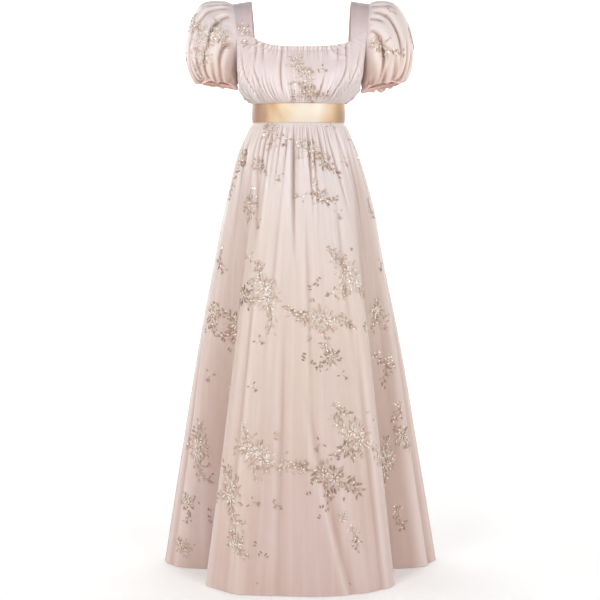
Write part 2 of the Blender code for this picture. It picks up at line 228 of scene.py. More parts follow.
def photo_pixels(points):
    """Where points show in the photo, in pixels right and down, and how far off they are."""
    off = points - (0, -CAMERA_DISTANCE, CAMERA_HEIGHT)
    pitch = math.radians(CAMERA_PITCH)
    far = off @ (0, math.cos(pitch), -math.sin(pitch))
    up = off @ (0, math.sin(pitch), math.cos(pitch))
    right = PHOTO_SIZE / 2 + CAMERA_FOCAL * off[..., 0] / far
    down = PHOTO_SIZE * (0.5 + CAMERA_SHIFT) - CAMERA_FOCAL * up / far
    return right, down, far


def columns_at(rows, place):
    """A table's columns after its first at many places, on a smooth curve through each."""
    rows = np.array(rows, float)
    place = np.clip(place, rows[0, 0], rows[-1, 0])
    k = np.clip(np.searchsorted(rows[:, 0], place) - 1, 0, len(rows) - 2)
    before, after = rows[np.maximum(k - 1, 0)], rows[np.minimum(k + 2, len(rows) - 1)]
    start, end = rows[k], rows[k + 1]
    span = (end - start)[..., :1]
    slope_in = (end - before) / (end - before)[..., :1] * span
    slope_out = (after - start) / (after - start)[..., :1] * span
    t = (np.expand_dims(place, -1) - start[..., :1]) / span
    t2, t3 = t * t, t * t * t
    values = (
        (2 * t3 - 3 * t2 + 1) * start + (t3 - 2 * t2 + t) * slope_in
        + (3 * t2 - 2 * t3) * end + (t3 - t2) * slope_out
    )
    return np.moveaxis(values, -1, 0)[1:]


def points_of(x, y, z):
    return np.stack(np.broadcast_arrays(x, y, z), -1).astype(float)


def oval(angle, left, right, front, back, z):
    """Points on a lopsided oval: angle 0 is the front and 90 the wearer's left."""
    cos, sin = cos_sin(angle)
    x = sin * np.where(sin > 0, left, right)
    y = -cos * np.where(cos > 0, front, back)
    return points_of(x, y, z)


def moved_out(points, distance):
    """The points moved level away from the dress's upright axis."""
    level = points * (1, 1, 0)
    away = level / np.linalg.norm(level, axis=-1, keepdims=True)
    return points + away * np.expand_dims(distance, -1)


def tilted(z, angle):
    """A height at the sash, which tilts down to the front."""
    return z - SASH_TILT * np.cos(np.radians(angle))


def waist_points(angle, z):
    return oval(angle, WAIST_LEFT, WAIST_RIGHT, WAIST_FRONT, WAIST_BACK, tilted(z, angle))


def armhole_points(side, turn, gap=0.0):
    """Points on the armhole: turn 0 is the shoulder, 90 the front and 180 the underarm."""
    middle = (ARMHOLE_TOP_Z + ARMHOLE_BOTTOM_Z) / 2
    up, forward = cos_sin(turn)
    depth = np.where(forward > 0, ARMHOLE_FRONT, ARMHOLE_BACK) + gap
    rise = (ARMHOLE_TOP_Z - ARMHOLE_BOTTOM_Z) / 2 + gap
    c = (1 + up) / 2
    x = (
        side.armhole_low * (1 - c) * (1 - 2 * c)
        + side.armhole_mid * 4 * c * (1 - c)
        + side.armhole_top * c * (2 * c - 1)
    )
    return points_of(side.sign * (x - gap), -depth * forward, middle + rise * up)


def neck_corner(side, is_front):
    if is_front:
        return np.array((side.sign * side.neck_corner, -NECK_CORNER_FRONT, side.neck_corner_z))
    return np.array((side.sign * side.neck_corner, NECK_CORNER_BACK, NECK_CORNER_BACK_Z))


def neckline_points(side, is_front, share):
    """Points on the neckline, from its centre to the corner at a strap."""
    centre = (0, -NECK_CENTRE_FRONT, NECK_CENTRE_FRONT_Z)
    if not is_front:
        centre = (0, NECK_CENTRE_BACK, NECK_CENTRE_BACK_Z)
    corner = neck_corner(side, is_front)
    y = mix(centre[1], corner[1], share**2)
    return points_of(corner[0] * share, y, mix(centre[2], corner[2], share**3))


def bodice_upper_edge(side, is_front, share):
    """The bodice's upper edge from the centre to the side seam: neckline, strap seam, armhole."""
    facing = 1 if is_front else -1
    neck = neckline_points(side, is_front, np.clip(share / NECK_SHARE, 0, 1))
    along_strap = np.clip((share - NECK_SHARE) / STRAP_SHARE, 0, 1)[..., None]
    strap_end = armhole_points(side, facing * side.seam_turn, SEAM_GAP)
    strap = mix(neck_corner(side, is_front), strap_end, along_strap)
    along = np.clip((share - NECK_SHARE - STRAP_SHARE) / (1 - NECK_SHARE - STRAP_SHARE), 0, 1)
    arm = armhole_points(side, facing * mix(side.seam_turn, 180, along), SEAM_GAP)
    edge = np.where((share <= NECK_SHARE)[..., None], neck, strap)
    return np.where((share > NECK_SHARE + STRAP_SHARE)[..., None], arm, edge)


def panel_angle(across, is_front):
    """The angle of places across a panel, from -1 to 1 between its side seams."""
    return 90 * across if is_front else 180 - 90 * across


def bodice_points(across, up, is_front):
    """Points of the bodice above the sash, without its gathers."""
    share = np.abs(across)
    left = bodice_upper_edge(SIDES["left"], is_front, share)
    right = bodice_upper_edge(SIDES["right"], is_front, share)
    upper = np.where((across > 0)[..., None], left, right)
    lower = waist_points(panel_angle(across, is_front), SASH_TOP_Z + SASH_EDGE_CLEARANCE)
    front, back = columns_at(BODICE_FULLNESS, share)
    swell = np.sin(math.pi * np.clip(up, 0, 1) ** SWELL_LEAN)
    return moved_out(mix(lower, upper, up[..., None]), (front if is_front else back) * swell)


def fold_depth(angle, drop):
    """How far the skirt's folds bring it in."""
    depth = np.zeros(np.broadcast(angle, drop).shape)
    for fold in SKIRT_FOLDS:
        grown = np.clip((drop - fold.start) / (fold.full - fold.start), 0, 1)
        fade = 1 - ease((drop - fold.full) / (fold.end - fold.full))
        place = mix(fold.upper_angle, fold.lower_angle, drop / SKIRT_DROP)
        off = (angle - place + 180) % 360 - 180
        depth += fold.depth * grown * fade * np.exp(-((off / fold.width) ** 2))
    return depth


def skirt_points(angle, drop):
    """Points of the skirt below the sash, with its folds and without its gathers."""
    top = tilted(SASH_BOTTOM_Z - SASH_EDGE_CLEARANCE, angle)
    points = oval(angle, *columns_at(SKIRT_SECTIONS, drop), mix(top, HEM_Z, drop / SKIRT_DROP))
    return moved_out(points, -fold_depth(angle, drop))


def sleeve_points(side, share, turn):
    """Points of a sleeve without its gathers, and the way out from the middle of each ring."""
    z, left, right, depth = columns_at(SLEEVE_CROWN, share)
    outer = points_of(left if side.sign > 0 else right, 0.0, z)
    inner = mix(
        np.array((side.armhole_low, 0, ARMHOLE_BOTTOM_Z)),
        np.array((side.cuff_inner_x, 0, side.cuff_inner_z)),
        np.expand_dims(share, -1),
    )
    up, forward = cos_sin(turn)
    drawn = np.where(forward > 0, CUFF_LIFT_FRONT, side.cuff_lift_back)
    lift = drawn * forward**2 * ease((share - CUFF_LIFT_START) / (1 - CUFF_LIFT_START))
    spread = mix(outer, inner, ((1 - up) / 2)[..., None])
    spread = spread + points_of(0.0, -depth * forward, lift)
    away = spread - (outer + inner) / 2
    away = away / np.linalg.norm(away, axis=-1, keepdims=True)
    slant = PUFF_SWELLS_ROUND * turn + PUFF_SWELL_SLANT * share
    swell = PUFF_SWELL * np.sin(math.pi * share) * np.sin(np.radians(slant))
    spread = spread + away * (swell * ease(CAP_GATHER_REACH + up))[..., None]
    mirror = (side.sign, 1, 1)
    return spread * mirror, away * mirror


# Creases that are listed one by one. Each runs along a sheet from its start to its end, moves from
# its first place across to its last, and sinks in. A lean from -1 to 1 makes one flank steeper.
Crease = namedtuple("Crease", "start full end first last depth width lean")
CREASE_SHARPNESS = 1.6


def crease_depth(creases, across, along, round_trip=None):
    """How far creases bring a sheet in. The round trip is the measure once round a closed one."""
    depth = np.zeros(np.broadcast(across, along).shape)
    for crease in creases:
        rise = ease((along - crease.start) / (crease.full - crease.start))
        fall = 1 - ease((along - crease.full) / (crease.end - crease.full))
        run = np.clip((along - crease.start) / (crease.end - crease.start), 0, 1)
        off = across - mix(crease.first, crease.last, run)
        if round_trip:
            off = (off + round_trip / 2) % round_trip - round_trip / 2
        width = crease.width * np.where(off > 0, 1 - crease.lean, 1 + crease.lean)
        depth += crease.depth * rise * fall * np.exp(-np.abs(off / width) ** CREASE_SHARPNESS)
    return depth


# How unequal gathers are: the heights of their ridges and how far these reach, as shares of
# the usual height and of the longest, and what the shortest ridge reaches at least
RIDGE_HEIGHTS = (0.45, 1.25)
RIDGE_REACHES = (0.35, 1.0)
SHORTEST_REACH = 0.3


class Gathers:
    """Rounded ridges side by side with sharp valleys between, each of its own width and length."""

    def __init__(self, seed, count, low, high, unevenness=0.35):
        rng = np.random.default_rng(seed)
        widths = 1 + unevenness * rng.uniform(-1, 1, count)
        self.borders = low + (high - low) * np.concatenate(([0], np.cumsum(widths))) / widths.sum()
        self.strength = rng.uniform(*RIDGE_HEIGHTS, count)
        self.reach = rng.uniform(*RIDGE_REACHES, count) ** 1.5
        self.count = count

    def height(self, across, distance, longest, power=0.75):
        """0 to about 1: the ridges' height at a distance from the seam that gathers them."""
        k = np.clip(np.searchsorted(self.borders, across, side="right") - 1, 0, self.count - 1)
        start, end = self.borders[k], self.borders[k + 1]
        t = np.clip((across - start) / (end - start), 0, 1)
        fade = 1 - ease(distance / (longest * mix(SHORTEST_REACH, 1.0, self.reach[k])))
        return np.sin(math.pi * t) ** power * self.strength[k] * fade

    def at_seam(self, across, power=0.75):
        return self.height(across, 0.0, 1.0, power)

    def standing(self, across, distance, longest, sunk_to, sunk=0.4, power=0.75):
        """Their height, less a share by which all the cloth sinks in beside the seam."""
        return self.height(across, distance, longest, power) - sunk * (1 - ease(distance / sunk_to))


# The skirt's creases by drop and angle, front first and then the sides and back
SKIRT_CREASES = table(
    Crease,
    (-0.02, 0.07, 0.4, -7.5, -2.5, 0.01, 1.5, 0.35),
    (-0.02, 0.08, 0.34, -47, -31, 0.008, 1.6, -0.3),
    (-0.02, 0.05, 0.22, -39, -36, 0.0055, 1.2, 0.2),
    (-0.02, 0.05, 0.2, -20, -21, 0.005, 1.1, 0.25),
    (-0.02, 0.04, 0.15, -13, -14, 0.004, 1.0, 0.0),
    (-0.02, 0.06, 0.26, 8, 11, 0.0045, 1.4, -0.2),
    (-0.02, 0.05, 0.19, 20, 27, 0.005, 1.2, 0.25),
    (-0.02, 0.06, 0.3, 31, 43, 0.0065, 1.5, 0.3),
    (-0.02, 0.05, 0.24, 44, 56, 0.0065, 1.5, -0.25),
    (0.02, 0.1, 0.4, 58, 67, 0.007, 2.0, 0.2),
    (0.0, 0.09, 0.38, -64, -60, 0.008, 2.2, -0.2),
    (-0.02, 0.05, 0.25, -74, -78, 0.0055, 1.8, 0.1),
    (-0.02, 0.06, 0.28, 76, 80, 0.0055, 1.8, -0.15),
    (0.1, 0.3, 0.7, -14, -20, 0.0045, 2.6, 0.2),
    (0.16, 0.38, 0.95, 4, 7, 0.0045, 2.8, -0.3),
    (0.14, 0.3, 0.74, 29, 31, 0.005, 2.4, 0.2),
    (0.24, 0.52, 1.3, -30, -31, 0.0065, 2.8, 0.35),
    (0.22, 0.6, 1.6, -46, -49, 0.014, 4.2, 0.35),
    (0.4, 0.75, 1.6, -9, -8, 0.005, 2.6, -0.25),
    (0.6, 0.95, 1.9, 1, 48, 0.0078, 3.2, -0.4),
    (0.42, 0.8, 1.7, 33, 35, 0.006, 2.4, 0.3),
    (0.3, 0.6, 1.5, 72, 75, 0.007, 2.2, 0.2),
    (0.42, 0.8, 1.6, -78, -84, 0.008, 2.4, -0.2),
    (0.2, 0.5, 1.2, 97, 99, 0.006, 2.6, 0.2),
    (0.24, 0.55, 1.4, -96, -98, 0.0065, 2.6, -0.25),
    (-0.02, 0.06, 0.36, 101, 104, 0.007, 1.8, 0.3),
    (-0.02, 0.05, 0.3, -99, -104, 0.007, 1.8, -0.3),
    (-0.02, 0.06, 0.24, 122, 124, 0.0055, 1.6, -0.2),
    (-0.02, 0.06, 0.33, 133, 137, 0.008, 1.7, 0.35),
    (-0.02, 0.05, 0.22, -124, -128, 0.006, 1.5, 0.15),
    (-0.02, 0.07, 0.36, -134, -138, 0.0075, 1.8, -0.35),
    (-0.02, 0.05, 0.27, 160, 163, 0.0065, 1.6, 0.2),
    (-0.02, 0.06, 0.4, 172, 170, 0.0085, 1.7, -0.35),
    (-0.02, 0.05, 0.25, 189, 191, 0.006, 1.5, 0.2),
    (-0.02, 0.06, 0.31, 201, 199, 0.0075, 1.7, 0.3),
    (0.22, 0.5, 1.3, 134, 136, 0.0065, 2.6, 0.2),
    (0.35, 0.7, 1.6, 166, 164, 0.007, 2.8, -0.3),
    (0.28, 0.6, 1.4, 196, 198, 0.0065, 2.8, 0.3),
    (0.3, 0.7, 1.5, -132, -134, 0.007, 2.6, -0.2),
)
SKIRT_FINE = Gathers(11, 140, -90, 270, 0.5)
SKIRT_PLEATS = Gathers(23, 40, -90, 270, 0.65)
SKIRT_WAVES = Gathers(31, 13, -90, 270, 0.5)
SKIRT_FINE_HEIGHT = 0.005
SKIRT_FINE_LENGTH = 0.105
SKIRT_FINE_START = 0.02
SKIRT_PLEAT_HEIGHT = 0.008
SKIRT_PLEAT_LENGTH = 0.34
SKIRT_PLEAT_START = 0.09
SKIRT_WAVE_HEIGHT = 0.006
SKIRT_WAVE_START = 0.15
SKIRT_WAVE_GROWTH = 0.6
SKIRT_CREASE_START = 0.01
SKIRT_SEAM_CALM = 1.4


def seam_calm(angle):
    """1 over the panels and 0 on the two side seams, so that the panels' edges meet."""
    off = np.abs((angle + 90) % 180)
    off = np.minimum(off, 180 - off)
    return ease(off / SKIRT_SEAM_CALM)


def skirt_relief(angle, drop):
    """How far the skirt's gathers stand out of its folds."""
    turn = (angle + 90) % 360 - 90
    fine = SKIRT_FINE.standing(turn, drop, SKIRT_FINE_LENGTH, 0.11, 0.45)
    pleats = SKIRT_PLEATS.standing(turn, drop, SKIRT_PLEAT_LENGTH, 0.45, 0.5, 1.5)
    pleats = pleats * ease(drop / SKIRT_PLEAT_START)
    waves = SKIRT_WAVES.at_seam(turn, 2.0) - 0.4
    waves = waves * ease((drop - SKIRT_WAVE_START) / SKIRT_WAVE_GROWTH)
    relief = ease(drop / SKIRT_FINE_START) * fine * SKIRT_FINE_HEIGHT + pleats * SKIRT_PLEAT_HEIGHT
    relief += waves * SKIRT_WAVE_HEIGHT
    creased = crease_depth(SKIRT_CREASES, angle, drop, 360) * ease(drop / SKIRT_CREASE_START)
    return (relief - creased) * seam_calm(angle)


# The bodice's creases by height and place across, for the front and the back
BODICE_FRONT_CREASES = table(
    Crease,
    (-0.1, 0.3, 1.25, -0.165, -0.15, 0.0045, 0.012, 0.3),
    (-0.1, 0.15, 0.5, -0.255, -0.26, 0.0022, 0.011, 0.0),
    (-0.1, 0.2, 0.75, -0.335, -0.4, 0.0055, 0.011, -0.2),
    (-0.1, 0.2, 0.9, -0.44, -0.52, 0.007, 0.012, 0.3),
    (-0.1, 0.25, 0.8, -0.56, -0.64, 0.0065, 0.012, 0.1),
    (-0.1, 0.2, 0.95, -0.68, -0.78, 0.007, 0.013, -0.2),
    (-0.1, 0.3, 0.8, -0.8, -0.86, 0.006, 0.013, 0.2),
    (-0.1, 0.15, 0.35, -0.075, -0.08, 0.0018, 0.01, 0.2),
    (-0.1, 0.15, 0.4, 0.06, 0.055, 0.0018, 0.01, -0.2),
    (-0.1, 0.2, 0.65, 0.19, 0.2, 0.0035, 0.012, 0.2),
    (-0.1, 0.25, 0.8, 0.32, 0.385, 0.0055, 0.011, -0.2),
    (-0.1, 0.2, 0.9, 0.43, 0.505, 0.007, 0.012, -0.3),
    (-0.1, 0.25, 0.85, 0.555, 0.64, 0.0065, 0.012, 0.2),
    (-0.1, 0.2, 0.95, 0.69, 0.78, 0.007, 0.013, 0.2),
    (-0.1, 0.3, 0.8, 0.805, 0.865, 0.006, 0.013, -0.2),
    (0.55, 0.9, 1.2, -0.3, -0.33, 0.0035, 0.014, 0.2),
    (0.45, 0.92, 1.2, -0.372, -0.388, 0.004, 0.012, -0.2),
    (0.6, 0.9, 1.2, 0.29, 0.32, 0.0035, 0.014, -0.2),
    (0.45, 0.92, 1.2, 0.365, 0.385, 0.004, 0.012, 0.2),
)
BODICE_BACK_CREASES = table(
    Crease,
    (-0.1, 0.25, 1.25, 0.02, 0.01, 0.0035, 0.014, 0.2),
    (-0.1, 0.2, 0.7, -0.2, -0.21, 0.0035, 0.014, 0.2),
    (-0.1, 0.2, 0.8, -0.42, -0.44, 0.004, 0.015, -0.2),
    (-0.1, 0.2, 0.8, -0.64, -0.65, 0.004, 0.015, 0.2),
    (-0.1, 0.2, 0.65, 0.25, 0.24, 0.0035, 0.014, -0.2),
    (-0.1, 0.2, 0.8, 0.46, 0.47, 0.004, 0.015, 0.2),
    (-0.1, 0.2, 0.8, 0.68, 0.69, 0.004, 0.015, -0.2),
)
BODICE_FRONT_GATHERS = (Gathers(5, 70, -1, 1, 0.5), Gathers(6, 78, -1, 1, 0.5))
BODICE_BACK_GATHERS = (Gathers(7, 48, -1, 1), Gathers(8, 54, -1, 1))
BODICE_GATHER_HEIGHT = 0.0098
BODICE_GATHER_LENGTH = 0.85
BODICE_GATHER_LEAN = 0.55
NECK_GATHER_HEIGHT = 0.0052
NECK_GATHER_LENGTH = 0.46
BUST_ACROSS = 0.44
BUST_UP = 0.46
BUST_WIDTH = 0.24
BUST_HEIGHT = 0.3
BUST_FULLNESS = 0.006
NECK_CASING = 0.075
NECK_CASING_WIDTH = 0.018
NECK_CASING_DIP = 0.0022
NECK_BUMP = 0.0016
BODICE_SEAM_CALM = 0.02
BODICE_DRAWN_IN = 0.006


def bodice_relief(across, up, is_front):
    """How far the bodice's gathers and its neckline's casing stand out."""
    low, high = BODICE_FRONT_GATHERS if is_front else BODICE_BACK_GATHERS
    share, from_edge = np.abs(across), 1 - up
    at_waist = share + BODICE_GATHER_LEAN * up * ease((share - 0.28) / 0.2)
    at_neck = share - BODICE_GATHER_LEAN * from_edge * ease((share - 0.18) / 0.2)
    at_waist, at_neck = np.sign(across) * at_waist, np.sign(across) * at_neck
    lower = low.standing(at_waist, up, BODICE_GATHER_LENGTH, 0.6)
    lower = lower * mix(0.28, 1.0, ease((share - 0.16) / 0.26))
    lower = lower * ease(0.25 + up / 0.06) * BODICE_GATHER_HEIGHT
    neck = 1 - ease((share - NECK_SHARE) / 0.05)
    upper = high.standing(at_neck, from_edge, NECK_GATHER_LENGTH, 0.4)
    upper = upper * mix(0.45, 1.0, ease((share - 0.14) / 0.2)) * mix(0.35, 1.0, neck)
    upper = upper * ease(from_edge / 0.03) * NECK_GATHER_HEIGHT
    bust_aside = ((share - BUST_ACROSS) / BUST_WIDTH) ** 2
    bust_above = ((up - BUST_UP) / BUST_HEIGHT) ** 2
    full = np.exp(-bust_aside - bust_above) * ease(up / 0.2)
    full = full * (BUST_FULLNESS if is_front else 0.0)
    casing = np.exp(-(((from_edge - NECK_CASING) / NECK_CASING_WIDTH) ** 2)) * NECK_CASING_DIP * neck
    bumps = high.at_seam(across) * NECK_BUMP * (1 - ease(from_edge / NECK_CASING)) * neck
    creases = BODICE_FRONT_CREASES if is_front else BODICE_BACK_CREASES
    creased = crease_depth(creases, across, up)
    drawn = BODICE_DRAWN_IN * ease((share - 0.4) / 0.3) * (1 - ease(up / 0.4)) * ease(up / 0.04)
    calm = ease((1 - share) / BODICE_SEAM_CALM)
    return (lower + upper + full - casing + bumps - creased - drawn) * calm


# The sleeves' creases by share of the way to the cuff and turn round it
LEFT_SLEEVE_CREASES = table(
    Crease,
    (-0.04, 0.3, 0.84, 50, 70, 0.018, 3.8, 0.45),
    (-0.04, 0.34, 0.98, 80, 120, 0.013, 3.6, 0.45),
    (0.04, 0.36, 0.74, 92, 106, 0.013, 6.0, -0.4),
    (-0.04, 0.12, 0.34, 36, 32, 0.009, 3.2, -0.2),
    (-0.04, 0.1, 0.3, 62, 70, 0.009, 3.0, 0.2),
    (-0.04, 0.12, 0.4, 18, 12, 0.007, 3.6, 0.1),
    (0.5, 0.8, 1.06, 40, 52, 0.011, 3.8, 0.3),
    (0.6, 0.86, 1.06, 24, 34, 0.009, 3.8, -0.2),
    (0.62, 0.88, 1.06, 78, 86, 0.01, 3.6, 0.3),
    (0.66, 0.9, 1.06, 140, 146, 0.008, 3.6, -0.2),
    (0.58, 0.84, 1.06, 4, 10, 0.008, 4.2, 0.2),
    (-0.04, 0.26, 0.74, -48, -72, 0.019, 3.8, -0.4),
    (-0.04, 0.3, 0.9, -84, -112, 0.013, 3.6, -0.4),
    (-0.04, 0.12, 0.36, -32, -28, 0.008, 3.2, 0.2),
    (0.52, 0.8, 1.06, -34, -44, 0.01, 4.0, 0.2),
    (0.58, 0.84, 1.06, -64, -72, 0.01, 4.0, -0.2),
    (0.6, 0.84, 1.06, -92, -98, 0.009, 4.0, 0.2),
)
RIGHT_SLEEVE_CREASES = table(
    Crease,
    (-0.04, 0.18, 0.56, 42, 48, 0.012, 3.4, 0.0),
    (-0.04, 0.26, 0.66, 54, 92, 0.019, 4.0, -0.5),
    (-0.04, 0.12, 0.3, 30, 36, 0.009, 3.0, 0.1),
    (-0.04, 0.14, 0.42, 16, 20, 0.008, 3.6, -0.1),
    (0.26, 0.5, 0.96, 47, 24, 0.011, 3.2, 0.3),
    (0.42, 0.64, 1.04, 84, 77, 0.012, 2.8, 0.2),
    (0.02, 0.34, 1.02, 104, 122, 0.012, 3.6, 0.35),
    (0.56, 0.84, 1.06, 58, 62, 0.01, 3.6, -0.2),
    (0.66, 0.88, 1.06, 98, 102, 0.01, 3.4, 0.2),
    (0.66, 0.9, 1.06, 40, 46, 0.009, 3.4, -0.2),
    (0.66, 0.9, 1.06, 144, 148, 0.008, 3.6, 0.2),
    (0.58, 0.84, 1.06, 6, 10, 0.008, 4.2, -0.2),
    (-0.04, 0.26, 0.7, -44, -66, 0.019, 3.8, 0.4),
    (-0.04, 0.3, 0.92, -78, -108, 0.013, 3.6, 0.4),
    (-0.04, 0.12, 0.36, -28, -24, 0.008, 3.2, -0.2),
    (0.52, 0.8, 1.06, -30, -42, 0.01, 4.0, -0.2),
    (0.58, 0.84, 1.06, -58, -68, 0.01, 4.0, 0.2),
    (0.6, 0.84, 1.06, -88, -96, 0.009, 4.0, -0.2),
)
SLEEVE_CREASES = {"left": LEFT_SLEEVE_CREASES, "right": RIGHT_SLEEVE_CREASES}


def sleeve_gathers(seed, count, unevenness):
    """Gathers round each sleeve, with a draw for each side."""
    return {side: Gathers(seed + k, count, -180, 180, unevenness) for k, side in enumerate(SIDES)}


SLEEVE_CAP = sleeve_gathers(41, 30, 0.5)
SLEEVE_FINE = sleeve_gathers(43, 44, 0.5)
SLEEVE_SCALLOPS = sleeve_gathers(45, 14, 0.6)
SLEEVE_CAP_HEIGHT = 0.0045
SLEEVE_CAP_LENGTH = 0.22
SLEEVE_CUFF_HEIGHT = 0.0068
SLEEVE_CUFF_LENGTH = 0.26
CUFF_RUCHE = 0.0022
CUFF_BELLY = 0.0012
SLEEVE_TWIST = 14
SLEEVE_HANG = 0.024
SLEEVE_HANG_START = 0.66
SLEEVE_HANG_LEAN = 1.6
SLEEVE_HANG_LEAST = 0.45


def sleeve_relief(name, share, turn):
    """How far a sleeve's gathers and creases stand out of its puff."""
    up, left = np.cos(np.radians(turn)), 1 - share
    twist = turn + SLEEVE_TWIST * share * np.sin(np.radians(2 * turn))
    twist = (twist + 180) % 360 - 180
    at_cap = SLEEVE_CAP[name].standing(twist, share, SLEEVE_CAP_LENGTH, 0.5)
    at_cap = at_cap * ease(share / 0.1) * ease((up + 0.75) / 0.9) * SLEEVE_CAP_HEIGHT
    at_cuff = SLEEVE_FINE[name].standing(twist, left, SLEEVE_CUFF_LENGTH, 0.4)
    at_cuff = at_cuff * ease(left / 0.05) * ease((up + 1.3) / 0.9) * SLEEVE_CUFF_HEIGHT
    ruched = SLEEVE_FINE[name].at_seam(turn) * (1 - ease(left / 0.08)) * CUFF_RUCHE
    creased = crease_depth(SLEEVE_CREASES[name], turn, share, 360)
    return at_cap + at_cuff + ruched - creased * ease(share / 0.06) * ease(left / 0.05)


# How many pixels a place may miss by for each metre that it is nearer
HIDDEN_COST = 12.0

# How far round a point its cloth is compared with it, in columns, and the depth of a full hollow,
# which gets the full painted shade
HOLLOW_REACH = 6
HOLLOW_DEPTH = 0.0016

# The reach over which motifs take the cloth's slopes, in columns and rows, and how far inside
# its last row and column they stay
SLOPE_REACH = 7
INSIDE = 1.001


class Sheet:
    """A sheet of cloth as a grid of points on its outer face, rows along and columns across."""

    def __init__(self, name, points, across, along, cut_width, closed=False, middle=None):
        self.name = name
        # Painted sheen on the sash and painted shade in the skirt's folds, on the sheets that have
        # them
        self.painted_sheen = None
        self.fold = None
        self.points = points
        self.across = across
        self.along = along
        self.closed = closed
        self.cut_width = cut_width
        right, down = self.slopes(self.points, 1)
        normal = np.cross(down, right)
        if closed:
            outward = points - points.mean(1, keepdims=True)
        else:
            outward = points * (1, 1, 0) if middle is None else points - np.array(middle)
        self.flip = bool((normal * outward).sum() < 0)
        if self.flip:
            normal = -normal
        self.normals = normal / np.linalg.norm(normal, axis=-1, keepdims=True)
        self.wide_right, self.wide_down = self.slopes(self.points, SLOPE_REACH)

    def hollows(self):
        """How deep each point lies in a gather, from -1 on a ridge to 1 in a valley, for painted shade
        and highlight.
        """
        columns = self.points.shape[1]
        around = 0.0
        for off in range(-HOLLOW_REACH, HOLLOW_REACH + 1):
            k = np.arange(columns) + off
            k = k % columns if self.closed else np.clip(k, 0, columns - 1)
            around = around + self.points[:, k]
        rise = ((around / (2 * HOLLOW_REACH + 1) - self.points) * self.normals).sum(-1)
        return np.clip(rise / HOLLOW_DEPTH, -1, 1)

    def slopes(self, points, reach):
        """How the points move for one column and for one row, over a reach of columns and rows."""
        rows, columns = points.shape[:2]
        i, j = np.arange(columns), np.arange(rows)
        after, before = i + reach, i - reach
        if not self.closed:
            after, before = np.clip(after, 0, columns - 1), np.clip(before, 0, columns - 1)
        moved = points[:, after % columns] - points[:, before % columns]
        right = moved / (after - before)[None, :, None]
        after, before = np.clip(j + reach, 0, rows - 1), np.clip(j - reach, 0, rows - 1)
        down = (points[after] - points[before]) / (after - before)[:, None, None]
        return right, down

    def place(self, across, along):
        """Column and row, as fractions, of a place by its own measures."""
        column = np.interp(across, self.across, np.arange(len(self.across)))
        row = np.interp(along, self.along, np.arange(len(self.along)))
        return column, row

    def seen_at(self, x, y):
        """Column and row of the place that shows at a pixel of the photo."""
        right, down, far = photo_pixels(self.points)
        miss = np.hypot(right - x, down - y) + HIDDEN_COST * (far - far.min())
        row, column = np.unravel_index(miss.argmin(), miss.shape)
        return float(column), float(row)

    def sample(self, values, column, row):
        """Values of the grid at fractions of columns and rows."""
        rows, columns = values.shape[:2]
        row = np.clip(row, 0, rows - INSIDE)
        if not self.closed:
            column = np.clip(column, 0, columns - INSIDE)
        i, j = np.floor(column).astype(int), np.floor(row).astype(int)
        s, t = (column - i)[..., None], (row - j)[..., None]
        i, k = i % columns, (i + 1) % columns
        upper = values[j, i] * (1 - s) + values[j, k] * s
        lower = values[j + 1, i] * (1 - s) + values[j + 1, k] * s
        return upper * (1 - t) + lower * t

    def step(self, column, row, right, down):
        """Columns and rows for a move of so many metres to the right and down over the cloth."""
        over = self.sample(self.wide_right, column, row)
        along = self.sample(self.wide_down, column, row)
        width = np.linalg.norm(over, axis=-1)
        unit = over / width[..., None]
        shear = (along * unit).sum(-1)
        fall = np.linalg.norm(along - unit * shear[..., None], axis=-1)
        rows = down / fall
        columns = (right - rows * shear) / width
        return columns, rows

    def lay(self, column, row, lift):
        """Points on the cloth at fractions of columns and rows, lifted off it."""
        normal = self.sample(self.normals, column, row)
        return self.sample(self.points, column, row) + normal * np.expand_dims(lift, -1)


def mesh_object(name, points, faces, material):
    mesh = bpy.data.meshes.new(name)
    mesh.from_pydata(np.asarray(points).reshape(-1, 3).tolist(), [], faces)
    mesh.shade_smooth()
    mesh.materials.append(material)
    made = bpy.data.objects.new(name, mesh)
    bpy.context.scene.collection.objects.link(made)
    return made


def put_attribute(made, name, kind, values):
    """A number or vector at each point of a mesh, for its material to read."""
    attribute = made.data.attributes.new(name, kind, "POINT")
    field = "vector" if kind == "FLOAT_VECTOR" else "value"
    attribute.data.foreach_set(field, np.asarray(values, np.float32).ravel())


def cloth_object(sheet, material, lining, wall=FINE_WALL):
    """The sheet as a mesh, thickened inwards, with its own measures across and along on it.

    Its rim is crisp, and its inner side has the lining's material.
    """
    rows, columns = sheet.points.shape[:2]
    faces = []
    for j in range(rows - 1):
        for i in range(columns if sheet.closed else columns - 1):
            k = (i + 1) % columns
            above, below = j * columns, (j + 1) * columns
            corners = (above + i, above + k, below + k, below + i)
            faces.append(corners if sheet.flip else corners[::-1])
    made = mesh_object(sheet.name, sheet.points, faces, material)
    steps = np.linalg.norm(np.diff(sheet.points, axis=0), axis=-1).mean(1)
    along = np.concatenate(([0], np.cumsum(steps)))
    across = np.linspace(0, sheet.cut_width, columns)
    cut = points_of(across[None, :], along[:, None], 0.0)
    put_attribute(made, "cut", "FLOAT_VECTOR", cut)
    # How deep the gathers lie, for the net's painted shade and highlight
    put_attribute(made, "gather_shade_and_highlight", "FLOAT", sheet.hollows())
    # Painted shade of the skirt's folds and painted sheen of the sash's satin
    for name, values in (("fold", sheet.fold), ("painted_sheen", sheet.painted_sheen)):
        if values is not None:
            put_attribute(made, name, "FLOAT", values)
    ends = np.empty(2 * len(made.data.edges), np.int32)
    made.data.edges.foreach_get("vertices", ends)
    row, column = np.divmod(ends.reshape(-1, 2), columns)
    rim = (row == 0).all(1) | (row == rows - 1).all(1)
    if not sheet.closed:
        rim |= (column == 0).all(1) | (column == columns - 1).all(1)
    made.data.edges.foreach_set("use_edge_sharp", rim)
    made.data.materials.append(lining)
    thicken = made.modifiers.new("wall", "SOLIDIFY")
    thicken.thickness = wall
    thicken.offset = -1
    thicken.material_offset = 1
    return made


